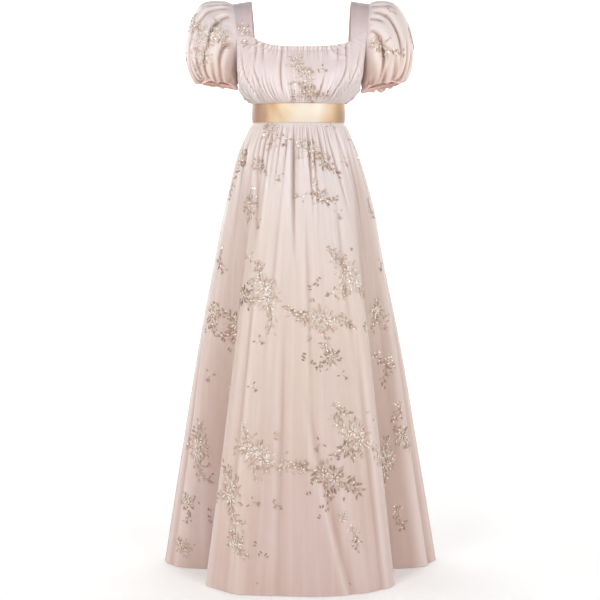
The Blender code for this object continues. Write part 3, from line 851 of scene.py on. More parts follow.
# A motif's points, each with its place along and over it, its rise and how near its edge it is
Template = namedtuple("Template", "points faces")
TIP_MARGIN = 0.04
TIP_RISE = 0.5
SEQUIN_SIDES = 6
STITCH_SLANT = 0.4


def strip_template(stations, lanes, half_width):
    """A motif of lanes (place over, rise, edge) that follow an outline from its foot to its tip."""
    points, faces = [], []
    for i in range(stations + 1):
        t = i / stations
        width = half_width(t)
        swell = math.sin(math.pi * min(max(t, TIP_MARGIN), 1 - TIP_MARGIN)) ** TIP_RISE
        for over, rise, edge in lanes:
            points.append((t, over * width, rise * swell, max(edge, 1 - swell)))
    across = len(lanes)
    for i in range(stations):
        for k in range(across - 1):
            a = i * across + k
            faces.append((a, a + 1, a + across + 1, a + across))
    return Template(np.array(points), faces)


RIMS = (-0.5, 0.0, 1.0), (0.5, 0.0, 1.0)
# A leaf's rims and vein are darker, and its one half a little darker than the other, as painted shade
# of the satin stitch
LEAF_LANES = (RIMS[0], (-0.27, 1.0, 0.0), (0.0, 0.35, 0.75), (0.27, 1.0, 0.25), RIMS[1])
PETAL_LANES = (RIMS[0], (-0.24, 1.0, 0.0), (0.24, 1.0, 0.0), RIMS[1])
BUD_LANES = (RIMS[0], (0.0, 1.0, 0.0), RIMS[1])
LEAF = strip_template(5, LEAF_LANES, lambda t: max(math.sin(math.pi * t**0.8) ** 0.9, 0.03))
PETAL = strip_template(5, PETAL_LANES, lambda t: max(math.sin(math.pi * t**1.5) ** 0.6, 0.12))
BUD = strip_template(4, BUD_LANES, lambda t: max(math.sin(math.pi * t) ** 0.6, 0.05))


def sequin_template():
    """A small cupped disc, its rim higher than its middle."""
    turns = [math.tau * k / SEQUIN_SIDES for k in range(SEQUIN_SIDES)]
    rim = [(0.5 * math.cos(turn), 0.5 * math.sin(turn), 1.0, 0.4) for turn in turns]
    faces = [(0, (k + 1) % SEQUIN_SIDES + 1, k + 1) for k in range(SEQUIN_SIDES)]
    return Template(np.array([(0.0, 0.0, 0.3, 0.0)] + rim), faces)


def bead_template():
    """A bead as a small octahedron."""
    waist = [(0.5, 0, 0.5, 0), (0, 0.5, 0.5, 0), (-0.5, 0, 0.5, 0), (0, -0.5, 0.5, 0)]
    faces = [((k + 1) % 4, k, 4) for k in range(4)] + [(k, (k + 1) % 4, 5) for k in range(4)]
    return Template(np.array(waist + [(0, 0, 1, 0), (0, 0, 0, 0)], float), faces)


SEQUIN = sequin_template()
BEAD = bead_template()

# Sizes of the embroidery. A petal's foot, length and width are shares of its flower's size, and
# its rise is so many times a stitch's. A motif's tone grows towards its edge and its ends: a darker
# outline thread, partly painted shade where the motif sinks to the cloth.
FLOWER_SIZE = 0.0136
FLOWER_PETALS = 6
FLOWER_HEART = 0.0026
PETAL_FOOT = 0.12
PETAL_LENGTH = 0.95
PETAL_WIDTH = 0.43
PETAL_RISE = 1.6
STAR_LEAVES = 9
STAR_HEART = 0.003
STAR_LEAF_LENGTH = 0.015
STAR_LEAF_WIDTH = 0.0044
LEAF_LENGTH = 0.0132
LEAF_WIDTH = 0.0048
BUD_LENGTH = 0.01
BUD_WIDTH = 0.0042
SEQUIN_SIZE = 0.0032
BEAD_SIZE = 0.0022
SEQUIN_RISE = 0.0009
BEAD_RISE = 0.0018
STEM_WIDTH = 0.0011
STEM_RISE = 0.0011
STEM_STEP = 0.004
STEM_TONE = 0.55
LEAF_HOP = 0.0085
STITCH_LIFT = 0.0005
STITCH_RISE = 0.0018
STITCH_LAYER = 0.0006
OUTLINE_AND_EDGE_SHADE = 0.5

# Columns and rows that motifs keep off a sheet's sides, top and bottom
BROAD_MARGIN = (2.0, 2.1, 1.2)
STRAP_MARGIN = (0.5, 0.5, 0.5)

# The branches of the two large kinds of spray: how far round and out each one starts, and its
# own turn, length and size. A main spray's tufts have places along and aside, its flowers along.
Offshoot = namedtuple("Offshoot", "aside out turn length size")
CLUSTER_BRANCHES = table(
    Offshoot,
    (0, 0.014, 0, 0.034, 0.9),
    (165, 0.012, 160, 0.016, 0.8),
)
MAIN_BRANCHES = table(
    Offshoot,
    (0, 0.03, -12, 0.05, 1.0),
    (172, 0.028, 165, 0.034, 0.9),
    (80, 0.018, 74, 0.028, 0.8),
)
MAIN_TUFTS = ((-0.018, 0.004), (0.0, -0.004), (0.018, 0.005))
MAIN_FLOWERS = (-0.012, 0.011)


class Embroidery:
    """Petals, leaves, stems, sequins and beads on one sheet, joined into a mesh.

    A spot is a column and row of the sheet. Turns are in degrees: 0 is to the right seen from
    outside, and 90 down. The lengths in the kinds of spray are metres in one of size 1.
    """

    def __init__(self, sheet, seed, margin):
        self.sheet = sheet
        self.rng = np.random.default_rng(seed)
        self.uniform = self.rng.uniform
        self.margin = margin
        self.mirror = -1.0 if sheet.flip else 1.0
        self.points, self.faces, self.tones, self.stitches, self.metal = [], [], [], [], []
        self.total = 0

    def fits(self, columns, rows):
        """Whether a motif's points all lie on the sheet, clear of its edges."""
        side, top, bottom = self.margin
        last_row, last_column = self.sheet.points.shape[0] - 1, self.sheet.points.shape[1] - 1
        if rows.min() < top or rows.max() > last_row - bottom:
            return False
        return self.sheet.closed or (columns.min() > side and columns.max() < last_column - side)

    def moved(self, spot, right, down):
        """The spots so many metres to the right of a spot and down from it."""
        columns, rows = self.sheet.step(spot[0], spot[1], right * self.mirror, down)
        return spot[0] + columns, spot[1] + rows

    def ahead(self, spot, turn, distance):
        turn = math.radians(turn)
        return self.moved(spot, distance * math.cos(turn), distance * math.sin(turn))

    def keep(self, columns, rows, rise, faces, tones, stitches, metal):
        """Add a motif to the mesh, if it fits."""
        if not self.fits(columns, rows):
            return
        self.points.append(self.sheet.lay(columns, rows, STITCH_LIFT + rise))
        self.faces += [tuple(self.total + k for k in face) for face in faces]
        self.tones.append(tones)
        self.stitches.append(stitches)
        self.metal += [metal] * len(faces)
        self.total += len(rise)

    def motif(self, spot, turn, length, width, rise, template, tone, metal=0):
        """One motif at a spot, pointing along its turn."""
        along, over, height, edge = template.points.T
        cos, sin = math.cos(math.radians(turn)), math.sin(math.radians(turn))
        u, v = along * length, over * width
        columns, rows = self.moved(spot, u * cos - v * sin, u * sin + v * cos)
        # Darker towards the edge and ends: outline thread, partly painted shade where the motif sinks
        # to the cloth
        tones = np.clip(tone + OUTLINE_AND_EDGE_SHADE * edge, 0, 1)
        stitches = points_of(v, u + STITCH_SLANT * np.abs(v), 0.0)
        layer = self.uniform(0, STITCH_LAYER)
        self.keep(columns, rows, height * rise + layer, template.faces, tones, stitches, metal)

    def leaf(self, spot, turn, size, tone):
        grown = size * self.uniform(0.8, 1.15)
        shade = tone + self.uniform(-0.22, 0.16)
        self.motif(spot, turn, LEAF_LENGTH * grown, LEAF_WIDTH * grown, STITCH_RISE, LEAF, shade)

    def bud(self, spot, turn, size, tone):
        grown = size * self.uniform(0.8, 1.2)
        self.motif(spot, turn, BUD_LENGTH * grown, BUD_WIDTH * grown, STITCH_RISE, BUD, tone)

    def sequin(self, spot, tone):
        size = SEQUIN_SIZE * self.uniform(0.8, 1.2)
        self.motif(spot, self.uniform(0, 360), size, size, SEQUIN_RISE, SEQUIN, tone, 1)

    def bead(self, spot, tone):
        self.motif(spot, 0.0, BEAD_SIZE, BEAD_SIZE, BEAD_RISE, BEAD, tone, 1)

    def stem(self, spot, turn, length, bend):
        """A couched thread from a spot, turning as it goes. Returns its spots, each with its turn."""
        steps = max(int(length / STEM_STEP), 3)
        turns = turn + bend * np.linspace(0, 1, steps + 1)
        cos, sin = cos_sin(turns)
        right = np.concatenate(([0], np.cumsum(cos[:-1]))) * length / steps
        down = np.concatenate(([0], np.cumsum(sin[:-1]))) * length / steps
        over = np.array((-0.5, 0.0, 0.5)) * STEM_WIDTH
        right = (right[:, None] - over * sin[:, None]).ravel()
        down = (down[:, None] + over * cos[:, None]).ravel()
        columns, rows = self.moved(spot, right, down)
        quads = [3 * i + k for i in range(steps) for k in range(2)]
        faces = [(first, first + 1, first + 4, first + 3) for first in quads]
        rise = np.tile((0.0, STEM_RISE, 0.0), steps + 1)
        tones = np.tile((STEM_TONE + 0.2, STEM_TONE, STEM_TONE + 0.2), steps + 1)
        along = np.repeat(np.linspace(0, length, steps + 1), 3)
        stitches = points_of(np.tile(over, steps + 1), along, 0.0)
        self.keep(columns, rows, rise, faces, tones, stitches, 0)
        return [((columns[3 * i + 1], rows[3 * i + 1]), turns[i]) for i in range(steps + 1)]

    def flower(self, spot, size, tone):
        """Petals round a heart of beads."""
        start = self.uniform(0, 60)
        each = 360 / FLOWER_PETALS
        for k in range(FLOWER_PETALS):
            grown = FLOWER_SIZE * size * self.uniform(0.85, 1.1)
            turn = start + each * k + self.uniform(-8, 8)
            foot = self.ahead(spot, turn, PETAL_FOOT * grown)
            shade = tone + self.uniform(-0.08, 0.16)
            length, width = grown * PETAL_LENGTH, grown * PETAL_WIDTH
            self.motif(foot, turn, length, width, STITCH_RISE * PETAL_RISE, PETAL, shade)
        for k in range(FLOWER_PETALS):
            self.bead(self.ahead(spot, start + each * (k + 0.5), FLOWER_HEART * size), tone)
        self.bead(spot, 0.7)

    def tuft(self, spot, turn, size, tone, count, near, far, narrow=1.0):
        """Leaves that point away from a spot, further out along its turn than across it."""
        for k in range(count):
            heading = turn + 360 * (k + self.uniform(-0.3, 0.3)) / count
            along = abs(math.cos(math.radians(heading - turn)))
            reach = self.uniform(near, far) * mix(narrow, 1.0, along)
            foot = self.ahead(spot, heading, reach * size)
            self.leaf(foot, heading + self.uniform(-30, 30), size, tone)

    def sprinkle(self, spot, count, near, far, tone):
        """Sequins strewn round a spot."""
        for _ in range(count):
            self.sequin(self.ahead(spot, self.uniform(0, 360), self.uniform(near, far)), tone)

    def branch(self, spot, turn, length, size, tone):
        """A bending stem with leaves to both sides and at its tip, and buds and sequins between."""
        bend = self.rng.choice((-1, 1)) * self.uniform(25, 60)
        places = self.stem(spot, turn, length, bend)
        hop = max(int(LEAF_HOP * size / STEM_STEP + 0.5), 2)
        hand = self.rng.choice((-1, 1))
        for k in range(1, len(places), hop):
            place, heading = places[k]
            lean = hand * self.uniform(32, 58)
            self.leaf(place, heading + lean, size * mix(1.1, 0.7, k / len(places)), tone)
            if self.rng.random() < 0.55:
                reach = self.uniform(0.008, 0.013) * size
                away = self.ahead(place, heading - lean * 1.3, reach)
                self.bud(away, heading - lean, size * 0.9, tone + 0.05)
            if self.rng.random() < 0.5:
                self.sequin(self.ahead(place, heading - lean, 0.006 * size), tone * 0.6)
            hand = -hand
        place, heading = places[-1]
        self.leaf(place, heading, size * 0.8, tone)

    def offshoots(self, branches, spot, turn, size, tone):
        """The branches of a large spray."""
        for off in branches:
            foot = self.ahead(spot, turn + off.aside, off.out * size)
            self.branch(foot, turn + off.turn, off.length * size, size * off.size, tone)

    def branchlet(self, spot, turn, size, tone):
        """A branch on its own, with a small flower at its foot."""
        self.flower(spot, size * 0.62, tone * 0.5)
        self.branch(self.ahead(spot, turn, 0.008 * size), turn, 0.05 * size, size, tone)
        self.sprinkle(spot, 5, 0.006 * size, 0.02 * size, tone * 0.5)

    def sprig(self, spot, turn, size, tone):
        """A short stem with three leaves and a few loose buds."""
        place, heading = self.stem(spot, turn, 0.016 * size, 20)[-1]
        for lean in (-46, 0, 46):
            self.leaf(place, heading + lean + self.uniform(-8, 8), size * 0.9, tone)
        for lean in (-110, 120):
            self.bud(self.ahead(spot, heading + lean, 0.01 * size), heading + lean, size, tone + 0.1)
        self.sequin(spot, tone)

    def scatter(self, spot, turn, size, tone):
        """Loose buds in pairs, as fallen petals."""
        for k in range(3):
            lean = self.uniform(-75, 75) + 180 * (k % 2)
            away = self.ahead(spot, turn + lean, 0.006 + 0.008 * k * size)
            heading = self.uniform(0, 360)
            self.bud(away, heading, size, tone + 0.18)
            self.bud(self.ahead(away, heading + 90, 0.0058 * size), heading + 25, size, tone + 0.12)

    def star(self, spot, turn, size, tone):
        """Slim leaves all round, with beads in the middle and a hanging stem."""
        length, width = STAR_LEAF_LENGTH * size, STAR_LEAF_WIDTH * size
        for k in range(STAR_LEAVES):
            heading = turn + 360 / STAR_LEAVES * k + self.uniform(-8, 8)
            foot = self.ahead(spot, heading, STAR_HEART)
            shade = tone + self.uniform(-0.2, 0.1)
            self.motif(foot, heading, length, width, STITCH_RISE, LEAF, shade)
            self.sequin(self.ahead(spot, heading + 20, 0.009 * size), tone * 0.5)
        self.bead(spot, 0.6)
        self.branch(self.ahead(spot, turn, 0.015 * size), turn, 0.026 * size, size * 0.75, tone)

    def blossom(self, spot, turn, size, tone):
        """One small flower with leaves under it."""
        self.tuft(spot, turn, size * 0.8, tone, 6, 0.006, 0.01)
        self.flower(spot, size * 0.75, tone * 0.5)
        self.sprinkle(spot, 4, 0.006 * size, 0.016 * size, tone * 0.5)

    def cluster(self, spot, turn, size, tone):
        """One flower among dense leaves, with a short branch on and a shorter one back."""
        self.offshoots(CLUSTER_BRANCHES, spot, turn, size, tone)
        self.tuft(spot, turn, size, tone, 11, 0.011, 0.019, 0.7)
        self.tuft(spot, turn, size * 0.9, tone * 0.7, 7, 0.003, 0.008)
        self.flower(self.ahead(spot, turn + 100, 0.004 * size), size * 0.8, tone * 0.4)
        self.sprinkle(spot, 12, 0.005 * size, 0.026 * size, tone * 0.5)
        for _ in range(3):
            away = self.ahead(spot, self.uniform(0, 360), self.uniform(0.026, 0.034) * size)
            self.bud(away, self.uniform(0, 360), size * 0.8, tone + 0.12)

    def main(self, spot, turn, size, tone):
        """Dense leaves along a bent line with two flowers on them, and branches trailing off."""
        self.offshoots(MAIN_BRANCHES, spot, turn, size, tone)
        self.tuft(spot, turn, size, tone, 18, 0.019, 0.031, 0.55)
        for off, aside in MAIN_TUFTS:
            place = self.ahead(self.ahead(spot, turn, off * size), turn + 90, aside * size)
            self.tuft(place, turn, size * 0.95, tone * 0.8, 8, 0.004, 0.013)
            self.sprinkle(place, 7, 0.004 * size, 0.019 * size, tone * 0.4)
        for off in MAIN_FLOWERS:
            self.flower(self.ahead(spot, turn, off * size), size * 0.78, tone * 0.4)
        for _ in range(6):
            away = self.ahead(spot, self.uniform(0, 360), self.uniform(0.04, 0.056) * size)
            heading = self.uniform(0, 360)
            self.bud(away, heading, size * 0.85, tone + 0.15)
            if self.rng.random() < 0.5:
                self.bud(self.ahead(away, heading + 90, 0.0055), heading + 20, size * 0.85, tone + 0.1)

    def made(self, name, materials):
        """The motifs as one mesh, its thread first and its sequins and beads second."""
        made = mesh_object(name, np.concatenate(self.points), self.faces, materials[0])
        made.data.materials.append(materials[1])
        made.data.polygons.foreach_set("material_index", np.array(self.metal, np.int32))
        put_attribute(made, "tone", "FLOAT", np.concatenate(self.tones))
        put_attribute(made, "stitch", "FLOAT_VECTOR", np.concatenate(self.stitches))
        return made


# Where the sprays lie. Those that the photo shows are placed by its pixels, and the others by
# their sheet's measures across and along. Each has the way it trails, its size, its kind, which
# is a method of Embroidery, and how dark and golden its thread is.
SeenSpray = namedtuple("SeenSpray", "photo_x photo_y turn size kind tone")
Spray = namedtuple("Spray", "across along turn size kind tone")
SKIRT_SEEN_SPRAYS = table(
    SeenSpray,
    (271, 131, 60, 0.95, "cluster", 0.3),
    (286, 138, 95, 0.8, "sprig", 0.5),
    (300, 145, 100, 0.8, "star", 0.2),
    (313, 148, 75, 0.92, "cluster", 0.25),
    (325, 160, 50, 0.92, "cluster", 0.45),
    (343, 160, 30, 0.7, "sprig", 0.35),
    (315, 183, 95, 0.75, "blossom", 0.2),
    (321, 198, 25, 0.85, "cluster", 0.45),
    (303, 195, 175, 0.8, "sprig", 0.25),
    (338, 212, 60, 0.7, "sprig", 0.2),
    (330, 126, 20, 0.7, "sprig", 0.35),
    (352, 143, 70, 0.75, "sprig", 0.35),
    (244, 158, 100, 0.85, "cluster", 0.45),
    (259, 166, 30, 0.8, "cluster", 0.4),
    (279, 174, 80, 0.7, "sprig", 0.45),
    (251, 190, 95, 0.8, "branchlet", 0.3),
    (250, 206, 80, 0.95, "cluster", 0.35),
    (258, 223, 70, 0.75, "sprig", 0.3),
    (250, 257, 160, 0.75, "sprig", 0.35),
    (258, 267, 60, 0.8, "blossom", 0.4),
    (266, 290, 75, 1.2, "main", 0.2),
    (243, 298, 150, 1.0, "cluster", 0.6),
    (287, 306, 35, 0.8, "branchlet", 0.45),
    (300, 318, 15, 0.7, "sprig", 0.4),
    (322, 319, 10, 1.12, "main", 0.25),
    (345, 324, 15, 0.8, "sprig", 0.45),
    (366, 329, 30, 0.8, "blossom", 0.25),
    (325, 346, 90, 0.8, "blossom", 0.25),
    (331, 359, 160, 0.85, "cluster", 0.5),
    (342, 373, 30, 0.65, "sprig", 0.45),
    (304, 361, 10, 0.9, "scatter", 0.5),
    (329, 247, 30, 0.8, "branchlet", 0.35),
    (343, 262, 50, 0.75, "sprig", 0.3),
    (351, 278, 55, 1.22, "main", 0.22),
    (317, 284, 100, 0.95, "scatter", 0.45),
    (333, 291, 150, 0.75, "sprig", 0.45),
    (376, 308, 80, 0.75, "blossom", 0.25),
    (384, 322, 60, 0.7, "sprig", 0.35),
    (238, 330, 70, 1.15, "main", 0.45),
    (258, 338, 20, 0.7, "sprig", 0.4),
    (238, 376, 45, 0.9, "star", 0.25),
    (252, 389, 30, 0.7, "sprig", 0.45),
    (376, 355, 50, 0.75, "branchlet", 0.45),
    (335, 408, 50, 0.85, "branchlet", 0.4),
    (357, 438, 40, 1.22, "main", 0.22),
    (346, 452, 150, 0.8, "cluster", 0.45),
    (320, 444, 110, 0.85, "sprig", 0.5),
    (330, 474, 25, 1.12, "main", 0.5),
    (354, 484, 20, 0.75, "sprig", 0.35),
    (375, 489, 80, 0.8, "sprig", 0.25),
    (243, 428, 50, 0.9, "branchlet", 0.25),
    (259, 455, 35, 1.22, "main", 0.22),
    (287, 466, 15, 0.8, "branchlet", 0.3),
    (301, 472, 25, 0.75, "blossom", 0.15),
    (229, 463, 100, 0.85, "sprig", 0.45),
    (232, 494, 80, 1.12, "main", 0.3),
    (252, 502, 0, 0.8, "sprig", 0.4),
    (277, 504, 90, 0.75, "scatter", 0.4),
    (234, 526, 90, 0.75, "blossom", 0.15),
    (236, 543, 60, 0.85, "cluster", 0.35),
    (257, 553, 40, 0.9, "scatter", 0.45),
    (322, 508, 170, 0.8, "scatter", 0.45),
    (343, 517, 80, 0.8, "blossom", 0.2),
    (353, 532, 60, 0.75, "branchlet", 0.45),
    (256, 590, 10, 0.75, "sprig", 0.35),
    (354, 585, 80, 0.7, "sprig", 0.45),
)
SKIRT_FRONT_SPRAYS = table(
    Spray,
    (-74, 0.14, 95, 0.9, "branchlet", 0.35),
    (79, 0.09, 95, 0.8, "sprig", 0.3),
    (76, 0.2, 95, 0.8, "branchlet", 0.3),
    (-72, 0.33, 95, 0.9, "branchlet", 0.4),
    (-70, 0.49, 95, 0.95, "cluster", 0.4),
    (-69, 0.64, 95, 0.8, "sprig", 0.4),
    (78, 0.36, 95, 0.8, "sprig", 0.35),
    (70, 0.48, 95, 0.9, "cluster", 0.3),
    (73, 0.61, 90, 0.95, "branchlet", 0.4),
    (76, 0.72, 90, 0.8, "branchlet", 0.35),
    (-72, 0.83, 95, 1.05, "main", 0.35),
    (-68, 0.9, 60, 0.8, "sprig", 0.4),
    (-75, 0.975, 80, 0.9, "cluster", 0.4),
    (-68, 1.0, 40, 0.7, "scatter", 0.45),
    (-76, 1.085, 60, 0.85, "cluster", 0.35),
    (76, 0.8, 80, 0.95, "cluster", 0.35),
    (69, 0.86, 95, 0.95, "main", 0.25),
    (72, 0.985, 95, 0.9, "branchlet", 0.4),
    (66, 1.06, 95, 0.75, "sprig", 0.4),
)
SKIRT_BACK_SPRAYS = table(
    Spray,
    (-38, 0.05, 85, 0.95, "cluster", 0.35),
    (-14, 0.04, 95, 0.9, "cluster", 0.4),
    (9, 0.065, 60, 0.85, "sprig", 0.35),
    (33, 0.055, 100, 0.95, "cluster", 0.3),
    (58, 0.08, 90, 0.9, "branchlet", 0.4),
    (-64, 0.11, 95, 0.95, "cluster", 0.35),
    (-26, 0.145, 70, 0.9, "branchlet", 0.45),
    (5, 0.165, 100, 1.05, "main", 0.3),
    (40, 0.17, 60, 0.9, "branchlet", 0.4),
    (75, 0.19, 95, 0.95, "cluster", 0.35),
    (-45, 0.245, 45, 0.8, "sprig", 0.45),
    (-20, 0.29, 30, 0.75, "scatter", 0.35),
    (24, 0.3, 75, 0.85, "branchlet", 0.4),
    (-62, 0.35, 100, 1.15, "main", 0.3),
    (-34, 0.385, 55, 1.1, "main", 0.25),
    (-8, 0.43, 30, 0.95, "branchlet", 0.45),
    (13, 0.395, 150, 0.8, "sprig", 0.4),
    (36, 0.405, 110, 1.15, "main", 0.25),
    (62, 0.43, 95, 1.0, "cluster", 0.35),
    (-77, 0.5, 90, 0.95, "branchlet", 0.4),
    (-28, 0.52, 80, 0.95, "star", 0.3),
    (2, 0.55, 15, 1.15, "main", 0.3),
    (22, 0.53, 10, 0.8, "sprig", 0.45),
    (45, 0.56, 60, 0.85, "scatter", 0.35),
    (78, 0.56, 100, 0.9, "sprig", 0.4),
    (-50, 0.6, 100, 1.0, "cluster", 0.35),
    (-12, 0.64, 95, 0.85, "branchlet", 0.5),
    (30, 0.65, 80, 0.95, "star", 0.3),
    (66, 0.67, 95, 1.1, "main", 0.35),
    (-68, 0.72, 95, 0.95, "branchlet", 0.4),
    (-33, 0.75, 50, 1.0, "branchlet", 0.35),
    (-18, 0.81, 30, 1.2, "main", 0.3),
    (6, 0.78, 165, 0.85, "sprig", 0.4),
    (26, 0.8, 25, 1.15, "main", 0.3),
    (46, 0.77, 70, 0.9, "branchlet", 0.45),
    (80, 0.8, 95, 0.95, "cluster", 0.4),
    (-58, 0.86, 105, 1.15, "main", 0.3),
    (-34, 0.91, 95, 0.95, "cluster", 0.35),
    (-4, 0.9, 75, 1.0, "cluster", 0.4),
    (14, 0.93, 60, 0.95, "branchlet", 0.5),
    (36, 0.92, 100, 1.05, "main", 0.3),
    (63, 0.9, 80, 1.0, "branchlet", 0.35),
    (-76, 0.97, 90, 0.9, "sprig", 0.4),
    (-46, 1.0, 90, 0.9, "star", 0.35),
    (-20, 1.01, 60, 0.85, "scatter", 0.35),
    (6, 1.03, 95, 0.9, "cluster", 0.45),
    (29, 1.04, 75, 0.85, "branchlet", 0.45),
    (56, 1.02, 95, 0.95, "cluster", 0.35),
    (78, 1.04, 95, 0.85, "branchlet", 0.4),
    (-62, 1.08, 95, 0.8, "sprig", 0.4),
    (-8, 1.1, 20, 0.65, "scatter", 0.3),
    (42, 1.1, 170, 0.65, "scatter", 0.3),
)
BODICE_FRONT_SPRAYS = table(
    Spray,
    (-0.02, 0.34, 60, 0.85, "cluster", 0.15),
    (0.05, 0.58, 75, 0.85, "main", 0.25),
    (0.11, 0.82, 30, 0.85, "cluster", 0.45),
    (0.02, 0.86, 160, 0.75, "branchlet", 0.4),
    (0.17, 0.42, 20, 0.6, "sprig", 0.4),
    (-0.47, 0.1, 60, 0.75, "blossom", 0.2),
    (-0.86, 0.62, 90, 0.85, "branchlet", 0.35),
    (0.88, 0.6, 90, 0.85, "branchlet", 0.35),
)
BODICE_BACK_SPRAYS = table(
    Spray,
    (-0.3, 0.4, 70, 0.9, "cluster", 0.3),
    (0.22, 0.55, 60, 0.95, "cluster", 0.35),
    (-0.04, 0.75, 100, 0.8, "branchlet", 0.45),
    (0.62, 0.4, 90, 0.85, "branchlet", 0.35),
    (-0.66, 0.6, 90, 0.85, "branchlet", 0.35),
)
SLEEVE_SPRAYS = {
    "right": table(
        Spray,
        (76, 0.44, 95, 1.05, "main", 0.1),
        (78, 0.66, 100, 0.85, "cluster", 0.15),
        (92, 0.24, 175, 0.9, "cluster", 0.25),
        (32, 0.46, 60, 0.85, "cluster", 0.2),
        (14, 0.7, 100, 0.75, "sprig", 0.4),
        (-20, 0.34, 90, 0.85, "branchlet", 0.35),
        (-72, 0.42, 85, 0.9, "main", 0.25),
        (-96, 0.66, 90, 0.8, "cluster", 0.35),
        (-48, 0.7, 100, 0.75, "sprig", 0.4),
    ),
    "left": table(
        Spray,
        (98, 0.34, 95, 0.9, "cluster", 0.25),
        (90, 0.5, 60, 0.8, "branchlet", 0.45),
        (46, 0.26, 60, 0.7, "sprig", 0.3),
        (22, 0.52, 90, 0.8, "branchlet", 0.35),
        (4, 0.7, 110, 0.75, "sprig", 0.4),
        (-34, 0.4, 90, 0.9, "cluster", 0.3),
        (-78, 0.44, 85, 0.9, "main", 0.3),
        (-104, 0.68, 90, 0.75, "sprig", 0.4),
    ),
}
STRAP_SPRAYS = {
    "right": table(
        Spray,
        (0.7, -0.9, 150, 0.8, "cluster", 0.25),
        (0.25, -0.95, 20, 0.7, "blossom", 0.35),
        (0.5, 0.7, 90, 0.7, "sprig", 0.35),
    ),
    "left": table(Spray, (0.55, 0.72, 90, 0.7, "sprig", 0.35)),
}

# Each sheet's cut: its greatest width and length, and its flat area
Cut = namedtuple("Cut", "width length area")
CUTS = {
    "bodice_front": Cut(0.52, 0.24, 0.095),
    "bodice_back": Cut(0.42, 0.22, 0.078),
    "strap": Cut(0.053, 0.262, 0.0132),
    "sleeve": Cut(0.56, 0.25, 0.112),
    "cuff": Cut(0.34, 0.012, 0.004),
    "sash": Cut(0.69, 0.048, 0.0331),
    "skirt_front": Cut(1.06, 1.17, 0.95),
    "skirt_back": Cut(1.08, 1.17, 0.93),
}


def panel_across(columns):
    """Places across a panel, from side seam to side seam."""
    inset = SEAM_GAP / (WAIST_LEFT * math.pi / 2)
    return np.linspace(inset - 1, 1 - inset, columns)


def turns_round(columns):
    return np.linspace(-180, 180, columns, endpoint=False)


def bodice_sheet(is_front):
    columns, rows = BODICE_FRONT_GRID if is_front else BODICE_BACK_GRID
    across = panel_across(columns)
    angle = panel_angle(across, is_front)
    up = 1 - np.linspace(0, 1, rows)
    places = np.broadcast_arrays(across[None, :], up[:, None])
    points = moved_out(bodice_points(*places, is_front), bodice_relief(*places, is_front))
    edge = waist_points(angle, SASH_TOP_Z - SASH_OVERLAP)[None]
    seam = waist_points(angle, WAIST_SEAM_Z + SEAM_GAP / 2)[None]
    points = np.concatenate((points, edge, seam))
    along = np.concatenate((1 - up, BODICE_UNDER_SASH))
    name = "bodice_front" if is_front else "bodice_back"
    return Sheet(name + "_cloth", points, across, along, CUTS[name].width)


def skirt_sheet(is_front):
    columns, rows = SKIRT_FRONT_GRID if is_front else SKIRT_BACK_GRID
    across = panel_across(columns)
    angle = panel_angle(across, is_front)
    drop = np.linspace(0, 1, rows) ** SKIRT_ROW_CROWDING * SKIRT_DROP
    places = np.broadcast_arrays(angle[None, :], drop[:, None])
    points = moved_out(skirt_points(*places), skirt_relief(*places))
    seam = waist_points(angle, WAIST_SEAM_Z - SEAM_GAP / 2)[None]
    edge = waist_points(angle, SASH_BOTTOM_Z + SASH_OVERLAP)[None]
    points = np.concatenate((seam, edge, points))
    along = np.concatenate((SKIRT_UNDER_SASH, drop))
    name = "skirt_front" if is_front else "skirt_back"
    sheet = Sheet(name + "_cloth", points, angle if is_front else across * 90, along, CUTS[name].width)
    # Painted shade in and beside the skirt's broad folds, fuller in deep folds and fading low on the
    # skirt
    down = (drop / SKIRT_DROP)[:, None]
    shade = np.clip(fold_depth(*places) / mix(SHADED_DEPTH_TOP, SHADED_DEPTH_HEM, down), 0, 1)
    shade = shade * mix(1.0, HEM_SHADE, ease((down - HEM_SHADE_START) / HEM_SHADE_RUN))
    sheet.fold = np.concatenate((np.zeros((2, columns)), shade))
    return sheet


def sleeve_sheet(name):
    side = SIDES[name]
    columns, rows = SLEEVE_GRID
    turn = turns_round(columns)
    share = np.linspace(0, 1, rows)
    places = np.broadcast_arrays(share[:, None], turn[None, :])
    points, away = sleeve_points(side, *places)
    points[0] = armhole_points(side, turn)
    points = points + away * sleeve_relief(name, *places)[..., None]
    low = np.clip((share - SLEEVE_HANG_START) / (1 - SLEEVE_HANG_START), 0, 1)
    hang = np.sin(math.pi * low**SLEEVE_HANG_LEAN)
    uneven = mix(SLEEVE_HANG_LEAST, 1.0, SLEEVE_SCALLOPS[name].at_seam(turn))
    uneven = uneven * ease(1.1 + np.cos(np.radians(turn)))
    points = points - points_of(0.0, 0.0, SLEEVE_HANG * hang[:, None] * uneven[None, :])
    return Sheet(f"sleeve_{name}_cloth", points, turn, share, CUTS["sleeve"].width, True)


def cuff_sheet(name):
    side = SIDES[name]
    columns, rows = CUFF_GRID
    turn = turns_round(columns)
    edge, away = sleeve_points(side, np.ones(columns), turn)
    along = np.linspace(0, 1, rows)
    down = SEAM_GAP + along[:, None] * CUFF_HEIGHT
    points = edge[None] - points_of(0.0, 0.0, down * np.ones(columns))
    points = points + points_of(side.sign * along[:, None] * CUFF_FLARE * np.ones(columns), 0.0, 0.0)
    ruched = SLEEVE_FINE[name].at_seam(turn) * CUFF_RUCHE
    ruched = ruched[None, :] + CUFF_BELLY * np.sin(math.pi * along)[:, None]
    points = points + away[None] * ruched[..., None]
    return Sheet(f"cuff_{name}_cloth", points, turn, along, CUTS["cuff"].width, True)


